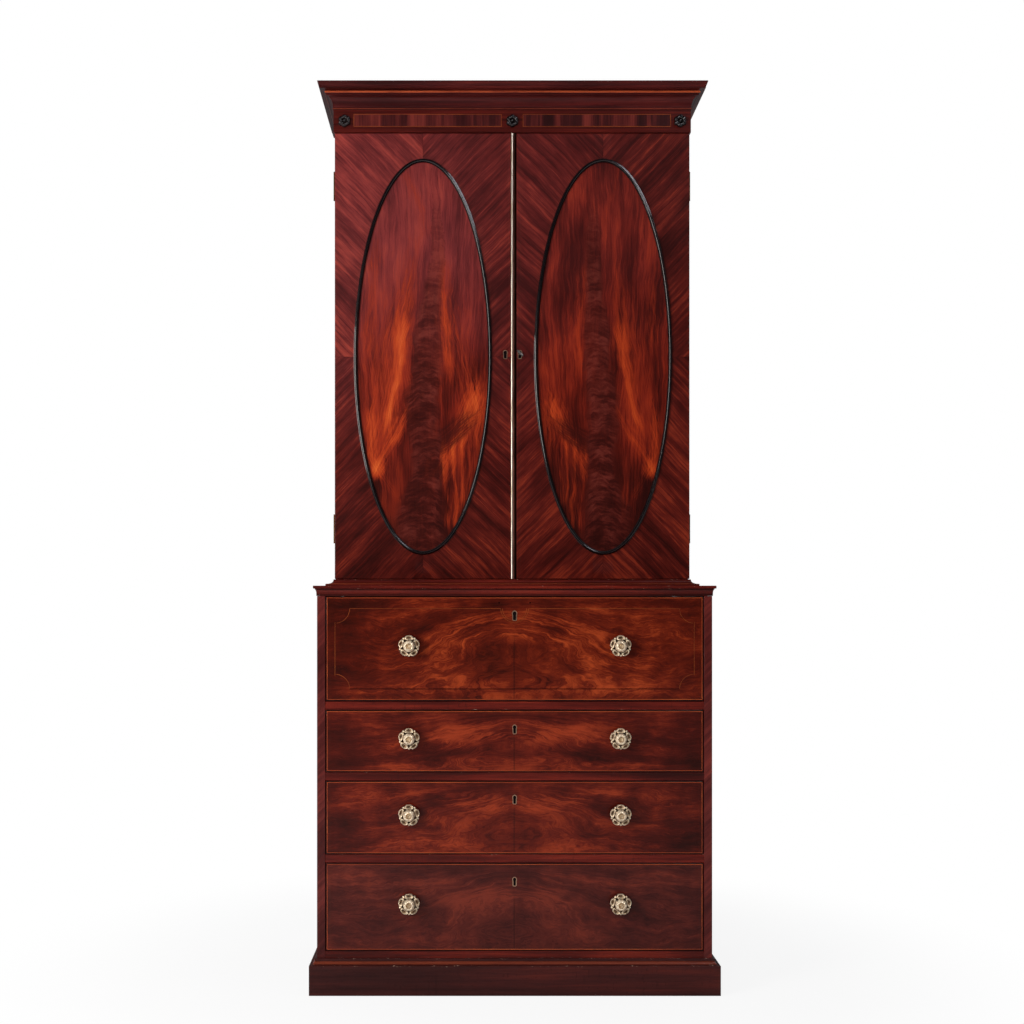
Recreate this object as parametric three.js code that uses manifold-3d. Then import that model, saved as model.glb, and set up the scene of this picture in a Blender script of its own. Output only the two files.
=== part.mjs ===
// A mahogany secretaire bookcase of about 1810, in millimetres, with +Z up and its front towards -Y.
// The origin is on the floor, under the middle of the whole piece.
// An upper cupboard with two oval-panelled doors stands on a lower case of three long drawers and
// a deep secretaire drawer, whose front lets down on two brass quadrants to make a desk.
// Inside this file y is 0 at the faces of the drawers; the group at the end moves it all to the origin.

import * as THREE from "three";
import { mergeVertices } from "three/addons/utils/BufferGeometryUtils.js";
import Module from "manifold-3d";

const wasm = await Module();
wasm.setup();

// Fits that the whole piece shares
const glueLine = 0.25; // between pieces that are fixed to one another
const sideClearance = 1.5; // each side of a drawer in its opening
const topClearance = 1.5; // over a drawer front
const runClearance = 0.5; // under a drawer on its runners
const pivotClearance = 0.3; // round a pin in its hole
const overrun = 2; // how far a cutting shape passes the face that it cuts
const joinLap = 1; // how far two shapes that are worked in one piece run into each other
const weldMargin = 0.001; // vertices closer than this are one

// Lower case
const lowerWidth = 968;
const lowerDepth = 530;
const caseBoard = 20;
const backBoard = 12;
const bottomBoardThickness = 17;
const topBoardThickness = 25;
const topBoardOverhang = 9;
const topBoardQuirkOverhang = 5;
const topBoardLipHeight = 7;
const topBoardQuirkHeight = 2;
const topBoardFootHeight = 4;
const topBoardFootOverhang = 1.5;

// Plinth, a frame round the foot of the lower case, with a moulding on its upper edge
const plinthHeight = 73;
const plinthOverhang = 18;
const plinthMouldingHeight = 15;
const plinthFilletOverhang = 5;
const plinthFilletHeight = 5;

// Spaces for the drawers, from the bottom up, and the dividers between them
const bottomDrawerSpace = 217;
const middleDrawerSpace = 181.5;
const topDrawerSpace = 154;
const secretaireSpace = 259;
const dividerThickness = 19.5;
const dividerRailDepth = 60;
const dividerRunnerWidth = 50;
const dustPanelThickness = 7;

// Long drawers
const drawerFrontThickness = 22;
const drawerBackRoom = 33; // behind a long drawer
const drawerSideThickness = 12;
const drawerBottomThickness = 8;
const drawerBottomRise = 6;
const drawerSideDrop = 14; // how far the sides stay below the top of their opening

// Knobs
const knobSpacing = 516;
const knobRiseShare = 0.046; // of the height of a long drawer's front, above its middle
const fallKnobRiseShare = 0.026;
const knobRadius = 26.5;
const knobReach = 38;
const petalCount = 5;
const stepsPerPetal = 5;
// From the middle of the button to the middle of the back: shares of the radius and of the reach,
// and how deep the outline is cut between two petals.
const knobOutlineShares = [
  [0, 1, 0],
  [0.1, 0.99, 0],
  [0.18, 0.93, 0],
  [0.2, 0.8, 0],
  [0.3, 0.7, 0.02],
  [0.58, 0.84, 0.05],
  [0.88, 0.8, 0.09],
  [1, 0.66, 0.12],
  [0.9, 0.55, 0.12],
  [0.42, 0.42, 0.02],
  [0.3, 0.3, 0],
  [0.28, 0.12, 0],
  [0.4, 0, 0],
  [0, 0, 0],
];

// Secretaire drawer
const fallThickness = 22;
const deskRise = 14; // the writing surface above the divider
const pivotSetback = 6; // the fall's pivot behind its inner face, and above the writing surface
const earClearance = 0.5; // the lower edge of the drawer's side over the fall when it is down
const lipClearance = 1;
const secretaireBackRoom = 28; // behind the secretaire drawer
const secretaireSideDrop = 10;
const quadrantRadius = 195;
const quadrantWidth = 8;
const quadrantThickness = 4;
const quadrantLeafWidth = 22;
const quadrantLeafThickness = 2;
const quadrantHubRadius = 6;
const quadrantPinRadius = 2.5;
const quadrantPinLength = 8;
const quadrantEndRadius = 6;
const quadrantSteps = 18;
const earSides = 32;
const quadrantStartShare = 0.04; // of a quarter turn, above the writing surface
const sideSleeve = 1; // between a quadrant and the side of the drawer

// Pigeonholes and their two small drawers, at the back of the secretaire drawer
const nestSetback = 33; // behind the quadrants
const nestBoard = 8;
const nestWallShares = [-1 / 3, 1 / 3]; // of the width, either side of the middle space
const nestDividerShares = [-2 / 3, 2 / 3];
const smallDrawerSpace = 58;
const smallDrawerBackRoom = 22;
const smallDrawerFront = 10;
const smallDrawerWall = 6;
const smallDrawerClearance = 0.75;
const smallKnobRadius = 7;
const smallKnobReach = 12;
const smallKnobOutlineShares = [
  [0, 1],
  [0.6, 0.94],
  [1, 0.68],
  [0.8, 0.42],
  [0.4, 0.3],
  [0.4, 0],
  [0, 0],
];

// Upper case
const upperWidth = 915;
const upperSetback = 180; // the faces of the doors behind the faces of the drawers
const upperBoard = 18;
const shelfThickness = 18;
const shelfSetback = 12;
const shelfHousing = 6; // the depth of the groove that holds the end of a shelf
const shelfShares = [1 / 3, 2 / 3]; // of the height inside the upper case

// Waist moulding, round the foot of the upper case
const waistHeight = 18;
const waistOverhang = 22;
const waistTopOverhang = 3;
const waistTopFillet = 2.5;
const waistFootHeight = 6;
const waistFootStep = 3;

// Doors
const doorHeight = 1149;
const doorThickness = 22;
const doorClearance = 1.5; // over and under the doors
const meetingClearance = 3.75; // between the brass strip on the left door and the right door
const astragalWidth = 10.5;
const astragalProud = 2.5;
const astragalFilletWidth = 4;
const leftDoorMeeting = -3; // where the wood of the left door ends
const ovalSideMargin = 50; // between the oval and the edge of the right door
const ovalEndMargin = 68.5; // between the oval and the ends of a door
const ovalDrop = 2; // below the middle of the door
const ovalPocketDepth = 6;
const ovalPanelSink = 0.5;
const ovalSteps = 64;
const beadWidth = 10;
const beadProud = 6;
// Across the half round of the bead: shares of half its width and of how far it stands proud
const beadOutlineShares = [
  [-1, 0],
  [-0.85, 0.6],
  [-0.25, 1],
  [0.45, 0.95],
  [0.92, 0.55],
  [1, 0],
];

// Door hinges, brass butts between the back of a door and the edge of the case
const hingeLength = 75;
const hingeInset = 130; // from the end of the door to the middle of the hinge
const leafWidth = 18;
const leafThickness = 1.2;
const leafPlay = 0.3;
const knuckleRadius = 2.5;
const knucklePlay = 0.4;
const hingePinRadius = 1.2;
const hingeSides = 14;

// Key in the right door
const keyFromMeeting = 8.5;
const keyRise = 4; // above the middle of the door
const keyShankRadius = 2.2;
const keyShankDepth = 15; // inside the door
const keyShankReach = 13; // in front of the door, up to the bow
const keyBowHalfWidth = 11;
const keyBowHalfLength = 8.5;
const keyBowBar = 3;
const keyBowThickness = 3;
const keyBowSteps = 20;
const keyTilt = Math.PI / 4;

// Frieze and cornice
const friezeHeight = 58;
const friezeProud = 3; // in front of the doors, and beyond them at each side
const friezeThickness = 18;
const friezeLedgeHeight = 12;
const friezeLedgeLap = 8;
const corniceHeight = 62;
const corniceOverhang = 38;
const corniceThickness = 15;
const cornicePoints = {
  astragal: { out: 2.5, height: 4.5 },
  quirk: { out: 1, height: 1.5 },
  coveFoot: { out: 1.5, height: 2 },
  coveTop: { out: 17, height: 24 },
  coveFillet: { out: 17, height: 3.5 },
  bead: { out: 21, height: 7.5 },
  beadNeck: { out: 18, height: 1.5 },
  fasciaFoot: { out: 33 },
  fasciaHead: { out: 37, height: 14 },
};
const beadShoulderShare = 0.6; // of how far the bead stands out from the fillet under it
const coveSteps = 5;
const mouldingSteps = 4;

// Roundels on the frieze
const roundelRadius = 17;
const roundelProud = 9;
const roundelInset = 28; // from the end of the frieze to the middle of a roundel
const roundelPetals = 6;
const roundelStepsPerPetal = 4;
const roundelOutlineShares = [
  [0, 1, 0],
  [0.2, 0.94, 0],
  [0.3, 0.55, 0],
  [0.66, 0.84, 0.08],
  [0.95, 0.5, 0.16],
  [1, 0, 0.16],
  [0, 0, 0],
];

// Heights and places that follow from the sizes above
const lowerHalf = lowerWidth / 2;
const openingHalf = lowerHalf - caseBoard;
const mouldingTop = plinthHeight + plinthMouldingHeight;
const bottomBoardTop = mouldingTop + bottomBoardThickness;
const lowerDividerTop = bottomBoardTop + bottomDrawerSpace + dividerThickness;
const middleDividerTop = lowerDividerTop + middleDrawerSpace + dividerThickness;
const upperDividerTop = middleDividerTop + topDrawerSpace + dividerThickness;
const secretaireCeiling = upperDividerTop + secretaireSpace;
const lowerTop = secretaireCeiling + topBoardThickness;
const lowerBackFace = lowerDepth - backBoard;

const upperHalf = upperWidth / 2;
const waistTop = lowerTop + waistHeight;
const doorBottom = waistTop + doorClearance;
const doorTop = doorBottom + doorHeight;
const doorMiddle = (doorBottom + doorTop) / 2;
const doorBack = upperSetback + doorThickness;
const hingeGap = 2 * glueLine + 2 * leafThickness + leafPlay;
const upperCaseFront = doorBack + hingeGap;
const upperInnerHalf = upperHalf - caseBoard;
const friezeBottom = doorTop + doorClearance;
const friezeTop = friezeBottom + friezeHeight;
const friezeHalf = upperHalf + friezeProud;
const friezeFace = upperSetback - friezeProud;
const corniceTop = friezeTop + corniceHeight;
const rightDoorMeeting = leftDoorMeeting + astragalWidth + meetingClearance;

const ovalHalfWidth = (upperHalf - rightDoorMeeting) / 2 - ovalSideMargin;
const ovalHalfHeight = doorHeight / 2 - ovalEndMargin;

const drawerHalf = openingHalf - sideClearance;
const drawerBoxBack = lowerBackFace - drawerBackRoom;
const secretaireBoxBack = lowerBackFace - secretaireBackRoom;
const deskTop = upperDividerTop + deskRise;
const pivotY = fallThickness + pivotSetback;
const pivotZ = deskTop + pivotSetback;
const fallBottom = upperDividerTop + runClearance + topClearance;
const fallTop = secretaireCeiling - topClearance;
const deskFront = pivotY + (pivotZ - fallBottom) + lipClearance;
const boxInnerHalf = drawerHalf - drawerSideThickness;

// Finishes, each with the colour, roughness and metalness that the piece shows
const finishes = {
  mahogany: { color: 0x5a1a12, roughness: 0.3, metalness: 0 },
  crossbanding: { color: 0x6e2015, roughness: 0.3, metalness: 0 },
  stripedVeneer: { color: 0x64190f, roughness: 0.26, metalness: 0 },
  flameVeneer: { color: 0x84301a, roughness: 0.24, metalness: 0 },
  ebonised: { color: 0x1d0d0b, roughness: 0.22, metalness: 0 },
  oak: { color: 0x9c7346, roughness: 0.6, metalness: 0 },
  brass: { color: 0xc9ab7c, roughness: 0.28, metalness: 1 },
  hingeBrass: { color: 0xa98a52, roughness: 0.4, metalness: 1 },
  steel: { color: 0x8d8a88, roughness: 0.35, metalness: 1 },
};

// A box between two places along each axis, given in either order.
function board(xs, ys, zs) {
  const spans = [xs, ys, zs];
  const size = spans.map(([a, b]) => Math.abs(b - a));
  const middle = spans.map(([a, b]) => (a + b) / 2);
  return new THREE.BoxGeometry(...size).translate(...middle);
}

// A round bar from one place to another along X, Y or Z; centre holds the two other coordinates.
function bar(axis, [first, second], centre, radius, sides) {
  const geometry = new THREE.CylinderGeometry(radius, radius, Math.abs(second - first), sides);
  const along = (first + second) / 2;
  if (axis === "x") return geometry.rotateZ(Math.PI / 2).translate(along, ...centre);
  if (axis === "z") return geometry.rotateX(Math.PI / 2).translate(...centre, along);
  return geometry.translate(centre[0], along, centre[1]);
}

// A flat shape drawn as the front view shows it, from its face at y = front back to y = back.
function plate(outline, front, back, hole = null) {
  const shape = new THREE.Shape(outline);
  if (hole) shape.holes.push(new THREE.Path(hole));
  const geometry = new THREE.ExtrudeGeometry(shape, { depth: back - front, bevelEnabled: false });
  return geometry.rotateX(Math.PI / 2).translate(0, back, 0);
}

// Points on an ellipse, anticlockwise in the front view.
function ellipse(halfWidth, halfHeight, steps, [x, z] = [0, 0]) {
  return Array.from({ length: steps }, (_, i) => {
    const angle = (2 * Math.PI * i) / steps;
    return new THREE.Vector2(x + halfWidth * Math.cos(angle), z + halfHeight * Math.sin(angle));
  });
}

// A closed surface through rings of points. The end rings are closed by a cap of that outline,
// unless they are single points or the last ring meets the first.
function skin(rings, { cap = null, meets = false } = {}) {
  const around = rings[0].length;
  const index = [];
  const bands = meets ? rings.length : rings.length - 1;
  for (let band = 0; band < bands; band++) {
    const here = band * around;
    const next = ((band + 1) % rings.length) * around;
    for (let i = 0; i < around; i++) {
      const j = (i + 1) % around;
      index.push(here + i, here + j, next + j, here + i, next + j, next + i);
    }
  }
  if (cap) {
    const end = (rings.length - 1) * around;
    for (const [a, b, c] of THREE.ShapeUtils.triangulateShape(cap, [])) {
      index.push(a, c, b, end + a, end + b, end + c);
    }
  }
  const geometry = new THREE.BufferGeometry();
  geometry.setAttribute("position", new THREE.Float32BufferAttribute(rings.flat(2), 3));
  geometry.setIndex(index);
  return geometry;
}

// A moulding mitred round the right side, the front and the left side of a case, of one section
// given as points of (how far out, height), anticlockwise from its inner lower corner.
function mitredMoulding(section, half, front, back) {
  const corners = [
    [1, () => back],
    [1, (out) => front - out],
    [-1, (out) => front - out],
    [-1, () => back],
  ];
  const rings = corners.map(([side, depthAt]) =>
    section.map(([out, height]) => [side * (half + out), depthAt(out), height]),
  );
  return skin(rings, { cap: section.map(([out, height]) => new THREE.Vector2(out, height)) });
}

// Points on a quarter of an ellipse between two corners of a moulding; a cove bends the other way.
function quarter([out0, height0], [out1, height1], steps, hollow) {
  return Array.from({ length: steps + 1 }, (_, i) => {
    const angle = ((Math.PI / 2) * i) / steps;
    const rise = hollow ? 1 - Math.cos(angle) : Math.sin(angle);
    const run = hollow ? Math.sin(angle) : 1 - Math.cos(angle);
    return [out0 + (out1 - out0) * rise, height0 + (height1 - height0) * run];
  });
}

// A closed mesh as a solid that can be joined and cut, and back again.
function solidOf(geometry) {
  const bare = new THREE.BufferGeometry();
  const loose = geometry.index ? geometry.toNonIndexed() : geometry;
  bare.setAttribute("position", loose.getAttribute("position").clone());
  const merged = mergeVertices(bare, weldMargin);
  const mesh = new wasm.Mesh({
    numProp: 3,
    vertProperties: merged.getAttribute("position").array,
    triVerts: new Uint32Array(merged.index.array),
  });
  return new wasm.Manifold(mesh);
}

function geometryOf(solid) {
  const mesh = solid.getMesh();
  const geometry = new THREE.BufferGeometry();
  geometry.setAttribute("position", new THREE.BufferAttribute(mesh.vertProperties, 3));
  geometry.setIndex(Array.from(mesh.triVerts));
  return geometry;
}

function join(...parts) {
  return geometryOf(parts.map(solidOf).reduce((whole, part) => whole.add(part)));
}

function cut(geometry, ...tools) {
  return geometryOf(tools.map(solidOf).reduce((left, tool) => left.subtract(tool), solidOf(geometry)));
}

// A named piece, faceted, with its own material.
function piece(name, geometry, finish) {
  const faceted = geometry.index ? geometry.toNonIndexed() : geometry;
  faceted.computeVertexNormals();
  const mesh = new THREE.Mesh(faceted, new THREE.MeshStandardMaterial(finishes[finish]));
  mesh.name = name;
  return mesh;
}

function assembly(...pieces) {
  const group = new THREE.Group();
  group.add(...pieces.flat());
  return group;
}

// A cast rosette seen from the front: petals round a button, on a neck that meets the wood at y.
function rosette(outlineShares, radius, reach, petals, stepsEach, [x, y, z]) {
  const steps = petals * stepsEach;
  const rings = outlineShares.map(([radiusShare, reachShare, cutShare]) =>
    Array.from({ length: steps }, (_, i) => {
      const angle = Math.PI / 2 - (2 * Math.PI * i) / steps;
      const lobe = 1 - (cutShare * (1 - Math.cos((2 * Math.PI * i) / stepsEach))) / 2;
      const r = radius * radiusShare * lobe;
      return [x + r * Math.cos(angle), y - reach * reachShare, z + r * Math.sin(angle)];
    }),
  );
  return skin(rings);
}

function knob(name, x, z) {
  const seat = [x, -glueLine, z];
  const reach = knobReach - glueLine;
  const shape = rosette(knobOutlineShares, knobRadius, reach, petalCount, stepsPerPetal, seat);
  return piece(name, shape, "brass");
}

// The height of the knobs on a front: a share of its height above its middle.
function knobHeight(bottom, top, riseShare) {
  return (bottom + top) / 2 + (top - bottom) * riseShare;
}

// The two knobs of a drawer front.
function knobPair(prefix, z) {
  return [
    knob(`${prefix}_knob_left`, -knobSpacing / 2, z),
    knob(`${prefix}_knob_right`, knobSpacing / 2, z),
  ];
}

// The foot of the piece: a frame on three sides with a small ovolo moulding on its edge.
function plinth() {
  const section = [
    [glueLine, 0],
    [plinthOverhang, 0],
    [plinthOverhang, plinthHeight],
    ...quarter(
      [plinthOverhang, plinthHeight],
      [plinthFilletOverhang, mouldingTop - plinthFilletHeight],
      mouldingSteps,
      false,
    ).slice(1),
    [plinthFilletOverhang, mouldingTop],
    [glueLine, mouldingTop],
  ];
  return piece("plinth", mitredMoulding(section, lowerHalf, 0, lowerDepth), "mahogany");
}

function lowerSide(name, side) {
  const xs = [side * openingHalf, side * lowerHalf];
  const shape = board(xs, [0, lowerDepth], [0, secretaireCeiling - glueLine]);
  return piece(name, shape, "mahogany");
}

function lowerBottomBoard() {
  const half = openingHalf - glueLine;
  const shape = board([-half, half], [0, lowerBackFace - glueLine], [mouldingTop, bottomBoardTop]);
  return piece("lower_bottom_board", shape, "mahogany");
}

function lowerBackBoard() {
  const half = openingHalf - glueLine;
  const shape = board(
    [-half, half],
    [lowerBackFace, lowerDepth],
    [mouldingTop, secretaireCeiling - glueLine],
  );
  return piece("lower_back_board", shape, "oak");
}

// The top of the lower case, with a moulded edge on three sides.
function lowerTopBoard() {
  const lipFoot = lowerTop - topBoardLipHeight;
  const quirkFoot = lipFoot - topBoardQuirkHeight;
  const ovoloFoot = secretaireCeiling + topBoardFootHeight;
  const edge = [
    [0, secretaireCeiling],
    [topBoardFootOverhang, secretaireCeiling],
    [topBoardFootOverhang, ovoloFoot],
    ...quarter([topBoardFootOverhang, ovoloFoot], [topBoardQuirkOverhang, quirkFoot], mouldingSteps, true),
    [topBoardQuirkOverhang, lipFoot],
    [topBoardOverhang, lipFoot],
    [topBoardOverhang, lowerTop],
    [0, lowerTop],
  ];
  const ring = ([out, height]) => [
    [-lowerHalf - out, lowerDepth, height],
    [lowerHalf + out, lowerDepth, height],
    [lowerHalf + out, -out, height],
    [-lowerHalf - out, -out, height],
  ];
  const middle = ([, height]) => Array(4).fill([0, lowerDepth / 2, height]);
  const rings = [middle(edge[0]), ...edge.slice(1, -1).map(ring), middle(edge.at(-1))];
  return piece("lower_top_board", skin(rings.reverse()), "mahogany");
}

// A rail between two drawers, with the runners and the thin dust panel behind it.
function divider(name, top) {
  const half = openingHalf - glueLine;
  const zs = [top - dividerThickness, top];
  const back = lowerBackFace - glueLine;
  const panelTop = top - (dividerThickness - dustPanelThickness) / 2;
  const runner = (side) => board([side * (half - dividerRunnerWidth), side * half], [0, back], zs);
  const shape = join(
    board([-half, half], [0, dividerRailDepth], zs),
    board([-half, half], [back - dividerRailDepth, back], zs),
    runner(-1),
    runner(1),
    board([-half, half], [0, back], [panelTop - dustPanelThickness, panelTop]),
  );
  return piece(name, shape, "mahogany");
}

// One long drawer in the space above the height floor.
function longDrawer(name, floor, space) {
  const bottom = floor + runClearance;
  const frontTop = floor + space - topClearance;
  const sideTop = floor + space - drawerSideDrop;
  const boxFront = drawerFrontThickness + glueLine;
  const ys = [boxFront, drawerBoxBack];
  const back = [drawerBoxBack - drawerSideThickness, drawerBoxBack];
  const panel = [bottom + drawerBottomRise, bottom + drawerBottomRise + drawerBottomThickness];
  const wide = [-drawerHalf, drawerHalf];
  const side = (sign) => board([sign * boxInnerHalf, sign * drawerHalf], ys, [bottom, sideTop]);
  const box = join(side(-1), side(1), board(wide, back, [bottom, sideTop]), board(wide, ys, panel));
  const front = board(wide, [0, drawerFrontThickness], [bottom + runClearance, frontTop]);
  const knobZ = knobHeight(bottom + runClearance, frontTop, knobRiseShare);
  return assembly(
    piece(`${name}_front`, front, "flameVeneer"),
    piece(`${name}_box`, box, "oak"),
    knobPair(name, knobZ),
  );
}

// A side of the secretaire drawer. In front it stops over the turning fall, in an ear that is
// rounded about the fall's pivot and has the hole for the quadrant's pin.
function secretaireSide(side) {
  const bottom = upperDividerTop + runClearance;
  const sideTop = secretaireCeiling - secretaireSideDrop;
  const front = fallThickness + 2 * glueLine;
  const xs = [side * boxInnerHalf, side * drawerHalf];
  const widerXs = [side * (boxInnerHalf - overrun), side * (drawerHalf + overrun)];
  const earRadius = pivotSetback - earClearance;
  const under = board(widerXs, [front - overrun, deskFront], [bottom - overrun, pivotZ - earRadius]);
  const corner = board(widerXs, [front - overrun, pivotY], [bottom - overrun, pivotZ]);
  const cutBack = cut(board(xs, [front, secretaireBoxBack], [bottom, sideTop]), under, corner);
  const ear = bar("x", xs, [pivotY, pivotZ], earRadius, earSides);
  const holeXs = [side * (boxInnerHalf - overrun), side * (boxInnerHalf + quadrantPinLength + glueLine)];
  const hole = bar("x", holeXs, [pivotY, pivotZ], quadrantPinRadius + pivotClearance, quadrantSteps);
  return cut(join(cutBack, ear), hole);
}

// The tray of the secretaire drawer: the writing surface, the sides and the back.
function secretaireBox() {
  const bottom = upperDividerTop + runClearance;
  const sideTop = secretaireCeiling - secretaireSideDrop;
  const wide = [-drawerHalf, drawerHalf];
  const back = [secretaireBoxBack - drawerSideThickness, secretaireBoxBack];
  const desk = board(wide, [deskFront, secretaireBoxBack], [bottom, deskTop]);
  const tray = join(secretaireSide(-1), secretaireSide(1), board(wide, back, [bottom, sideTop]), desk);
  return piece("secretaire_box", tray, "oak");
}

// The drop front of the secretaire drawer.
function fallFront() {
  const shape = board([-drawerHalf, drawerHalf], [0, fallThickness], [fallBottom, fallTop]);
  return piece("fall_front", shape, "flameVeneer");
}

// A brass quadrant: a leaf on the fall's inner face, a hub and pin at the pivot, and the quarter
// ring that runs back beside the side of the drawer and holds the fall level when it is down.
function quadrant(name, side) {
  const outer = side * (boxInnerHalf - sideSleeve);
  const inner = outer - side * quadrantThickness;
  const leafFace = fallThickness + glueLine;
  const start = (Math.PI / 2) * quadrantStartShare;
  const end = Math.PI / 2 + Math.asin((pivotY - leafFace) / quadrantRadius);
  const along = (radius, angle) => [pivotY + radius * Math.cos(angle), pivotZ + radius * Math.sin(angle)];
  const arc = (radius) =>
    Array.from({ length: quadrantSteps + 1 }, (_, i) => {
      return along(radius, start + ((end - start) * i) / quadrantSteps);
    });
  const outline = [...arc(quadrantRadius), ...arc(quadrantRadius - quadrantWidth).reverse()];
  const ringSection = outline.map(([y, z]) => new THREE.Vector2(y, z));
  const ring = skin(
    [Math.min(inner, outer), Math.max(inner, outer)].map((x) => outline.map(([y, z]) => [x, y, z])),
    { cap: ringSection },
  );
  const middleRadius = quadrantRadius - quadrantWidth / 2;
  const leafTop = pivotZ + Math.sqrt(quadrantRadius ** 2 - (pivotY - leafFace) ** 2);
  const leafBack = leafFace + quadrantLeafThickness;
  const leaf = board([outer, outer - side * quadrantLeafWidth], [leafFace, leafBack], [pivotZ, leafTop]);
  const neckZs = [pivotZ - quadrantLeafThickness, pivotZ + quadrantHubRadius];
  const neck = board([outer, inner], [leafFace, pivotY], neckZs);
  const hub = bar("x", [inner, outer], [pivotY, pivotZ], quadrantHubRadius - glueLine, quadrantSteps);
  const pinEnd = outer + side * quadrantPinLength;
  const pin = bar("x", [inner, pinEnd], [pivotY, pivotZ], quadrantPinRadius, quadrantSteps);
  const stop = bar("x", [inner, outer], along(middleRadius, start), quadrantEndRadius, quadrantSteps);
  return piece(name, join(ring, leaf, neck, hub, pin, stop), "hingeBrass");
}

// The pigeonholes: three bays, with a small drawer under the pair at each side.
const nestHalf = boxInnerHalf - glueLine;
const nestBack = secretaireBoxBack - drawerSideThickness - glueLine;
const nestFront = pivotY + quadrantRadius + nestSetback;
const nestBottom = deskTop + glueLine;
const nestTop = secretaireCeiling - secretaireSideDrop;
const smallDrawerFloor = nestBottom + nestBoard;

function pigeonholes() {
  const ys = [nestFront, nestBack];
  const zs = [nestBottom, nestTop];
  const across = [-nestHalf, nestHalf];
  const upright = (x, bottom) => board([x - nestBoard / 2, x + nestBoard / 2], ys, [bottom, nestTop]);
  const shelfTop = smallDrawerFloor + smallDrawerSpace + nestBoard;
  const shelf = (side) =>
    board([side * nestHalf, side * nestHalf * nestWallShares[1]], ys, [shelfTop - nestBoard, shelfTop]);
  const shape = join(
    board(across, ys, [nestBottom, nestBottom + nestBoard]),
    board(across, ys, [nestTop - nestBoard, nestTop]),
    board(across, [nestBack - nestBoard / 2, nestBack], zs),
    board([-nestHalf, -nestHalf + nestBoard], ys, zs),
    board([nestHalf - nestBoard, nestHalf], ys, zs),
    ...nestWallShares.map((share) => upright(nestHalf * share, nestBottom)),
    ...nestDividerShares.map((share) => upright(nestHalf * share, shelfTop - nestBoard)),
    shelf(-1),
    shelf(1),
  );
  return piece("pigeonholes", shape, "mahogany");
}

// A small drawer under the pigeonholes, with a turned knob worked in one with its front.
function smallDrawer(name, side) {
  const innerX = nestHalf * nestWallShares[1] + nestBoard / 2 + smallDrawerClearance;
  const outerX = nestHalf - nestBoard - smallDrawerClearance;
  const xs = [side * innerX, side * outerX];
  const bottom = smallDrawerFloor + runClearance;
  const top = smallDrawerFloor + smallDrawerSpace - smallDrawerClearance;
  const back = nestBack - smallDrawerBackRoom;
  const body = board(xs, [nestFront, back], [bottom, top]);
  const hollow = board(
    [side * (innerX + smallDrawerWall), side * (outerX - smallDrawerWall)],
    [nestFront + smallDrawerFront, back - smallDrawerWall],
    [bottom + smallDrawerWall, top + overrun],
  );
  const profile = smallKnobOutlineShares.map(
    ([radiusShare, reachShare]) =>
      new THREE.Vector2(smallKnobRadius * radiusShare, -smallKnobReach * reachShare),
  );
  const turned = new THREE.LatheGeometry(profile, stepsPerPetal * 2);
  turned.translate((side * (innerX + outerX)) / 2, nestFront + glueLine, (bottom + top) / 2);
  return piece(name, join(cut(body, hollow), turned), "mahogany");
}

// The upper case
const shelfFloor = lowerTop + glueLine + upperBoard;
const shelfCeiling = friezeBottom - glueLine - upperBoard;
const shelfHeights = shelfShares.map((share) => shelfFloor + (shelfCeiling - shelfFloor) * share);
const shelfYs = [upperCaseFront + shelfSetback, lowerBackFace - glueLine];

// A side of the upper case, grooved on its inner face for the ends of the shelves.
function upperSide(name, side) {
  const zs = [lowerTop + glueLine, friezeBottom - glueLine];
  const blank = board([side * upperInnerHalf, side * upperHalf], [upperCaseFront, lowerDepth], zs);
  const grooves = shelfHeights.map((height) =>
    board(
      [side * (upperInnerHalf - overrun), side * (upperInnerHalf + shelfHousing)],
      [shelfYs[0] - glueLine, lowerDepth + overrun],
      [height - glueLine, height + shelfThickness + glueLine],
    ),
  );
  return piece(name, cut(blank, ...grooves), "mahogany");
}

function shelf(name, height) {
  const half = upperInnerHalf + shelfHousing - glueLine;
  return piece(name, board([-half, half], shelfYs, [height, height + shelfThickness]), "mahogany");
}

// A board between the two upper sides, in front of the back board.
function upperFlatBoard(name, bottom) {
  const half = upperInnerHalf - glueLine;
  const ys = [upperCaseFront, lowerBackFace - glueLine];
  return piece(name, board([-half, half], ys, [bottom, bottom + upperBoard]), "mahogany");
}

function upperBackBoard() {
  const half = upperInnerHalf - glueLine;
  const zs = [lowerTop + glueLine, corniceTop - backBoard];
  return piece("upper_back_board", board([-half, half], [lowerBackFace, lowerDepth], zs), "oak");
}

// The moulding round the foot of the upper case, with the strip under the doors.
function waistMoulding() {
  const foot = lowerTop + glueLine;
  const footTop = foot + waistFootHeight;
  const coveTop = waistTop - waistTopFillet;
  const section = [
    [glueLine, foot],
    [waistOverhang, foot],
    [waistOverhang, footTop],
    ...quarter([waistOverhang - waistFootStep, footTop], [waistTopOverhang, coveTop], coveSteps, false),
    [waistTopOverhang, waistTop],
    [glueLine, waistTop],
  ];
  const half = upperHalf;
  const strip = board(
    [-half - joinLap, half + joinLap],
    [upperSetback - joinLap, upperCaseFront - glueLine],
    [foot, waistTop],
  );
  const shape = join(mitredMoulding(section, half, upperSetback, lowerDepth), strip);
  return piece("waist_moulding", shape, "mahogany");
}

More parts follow.
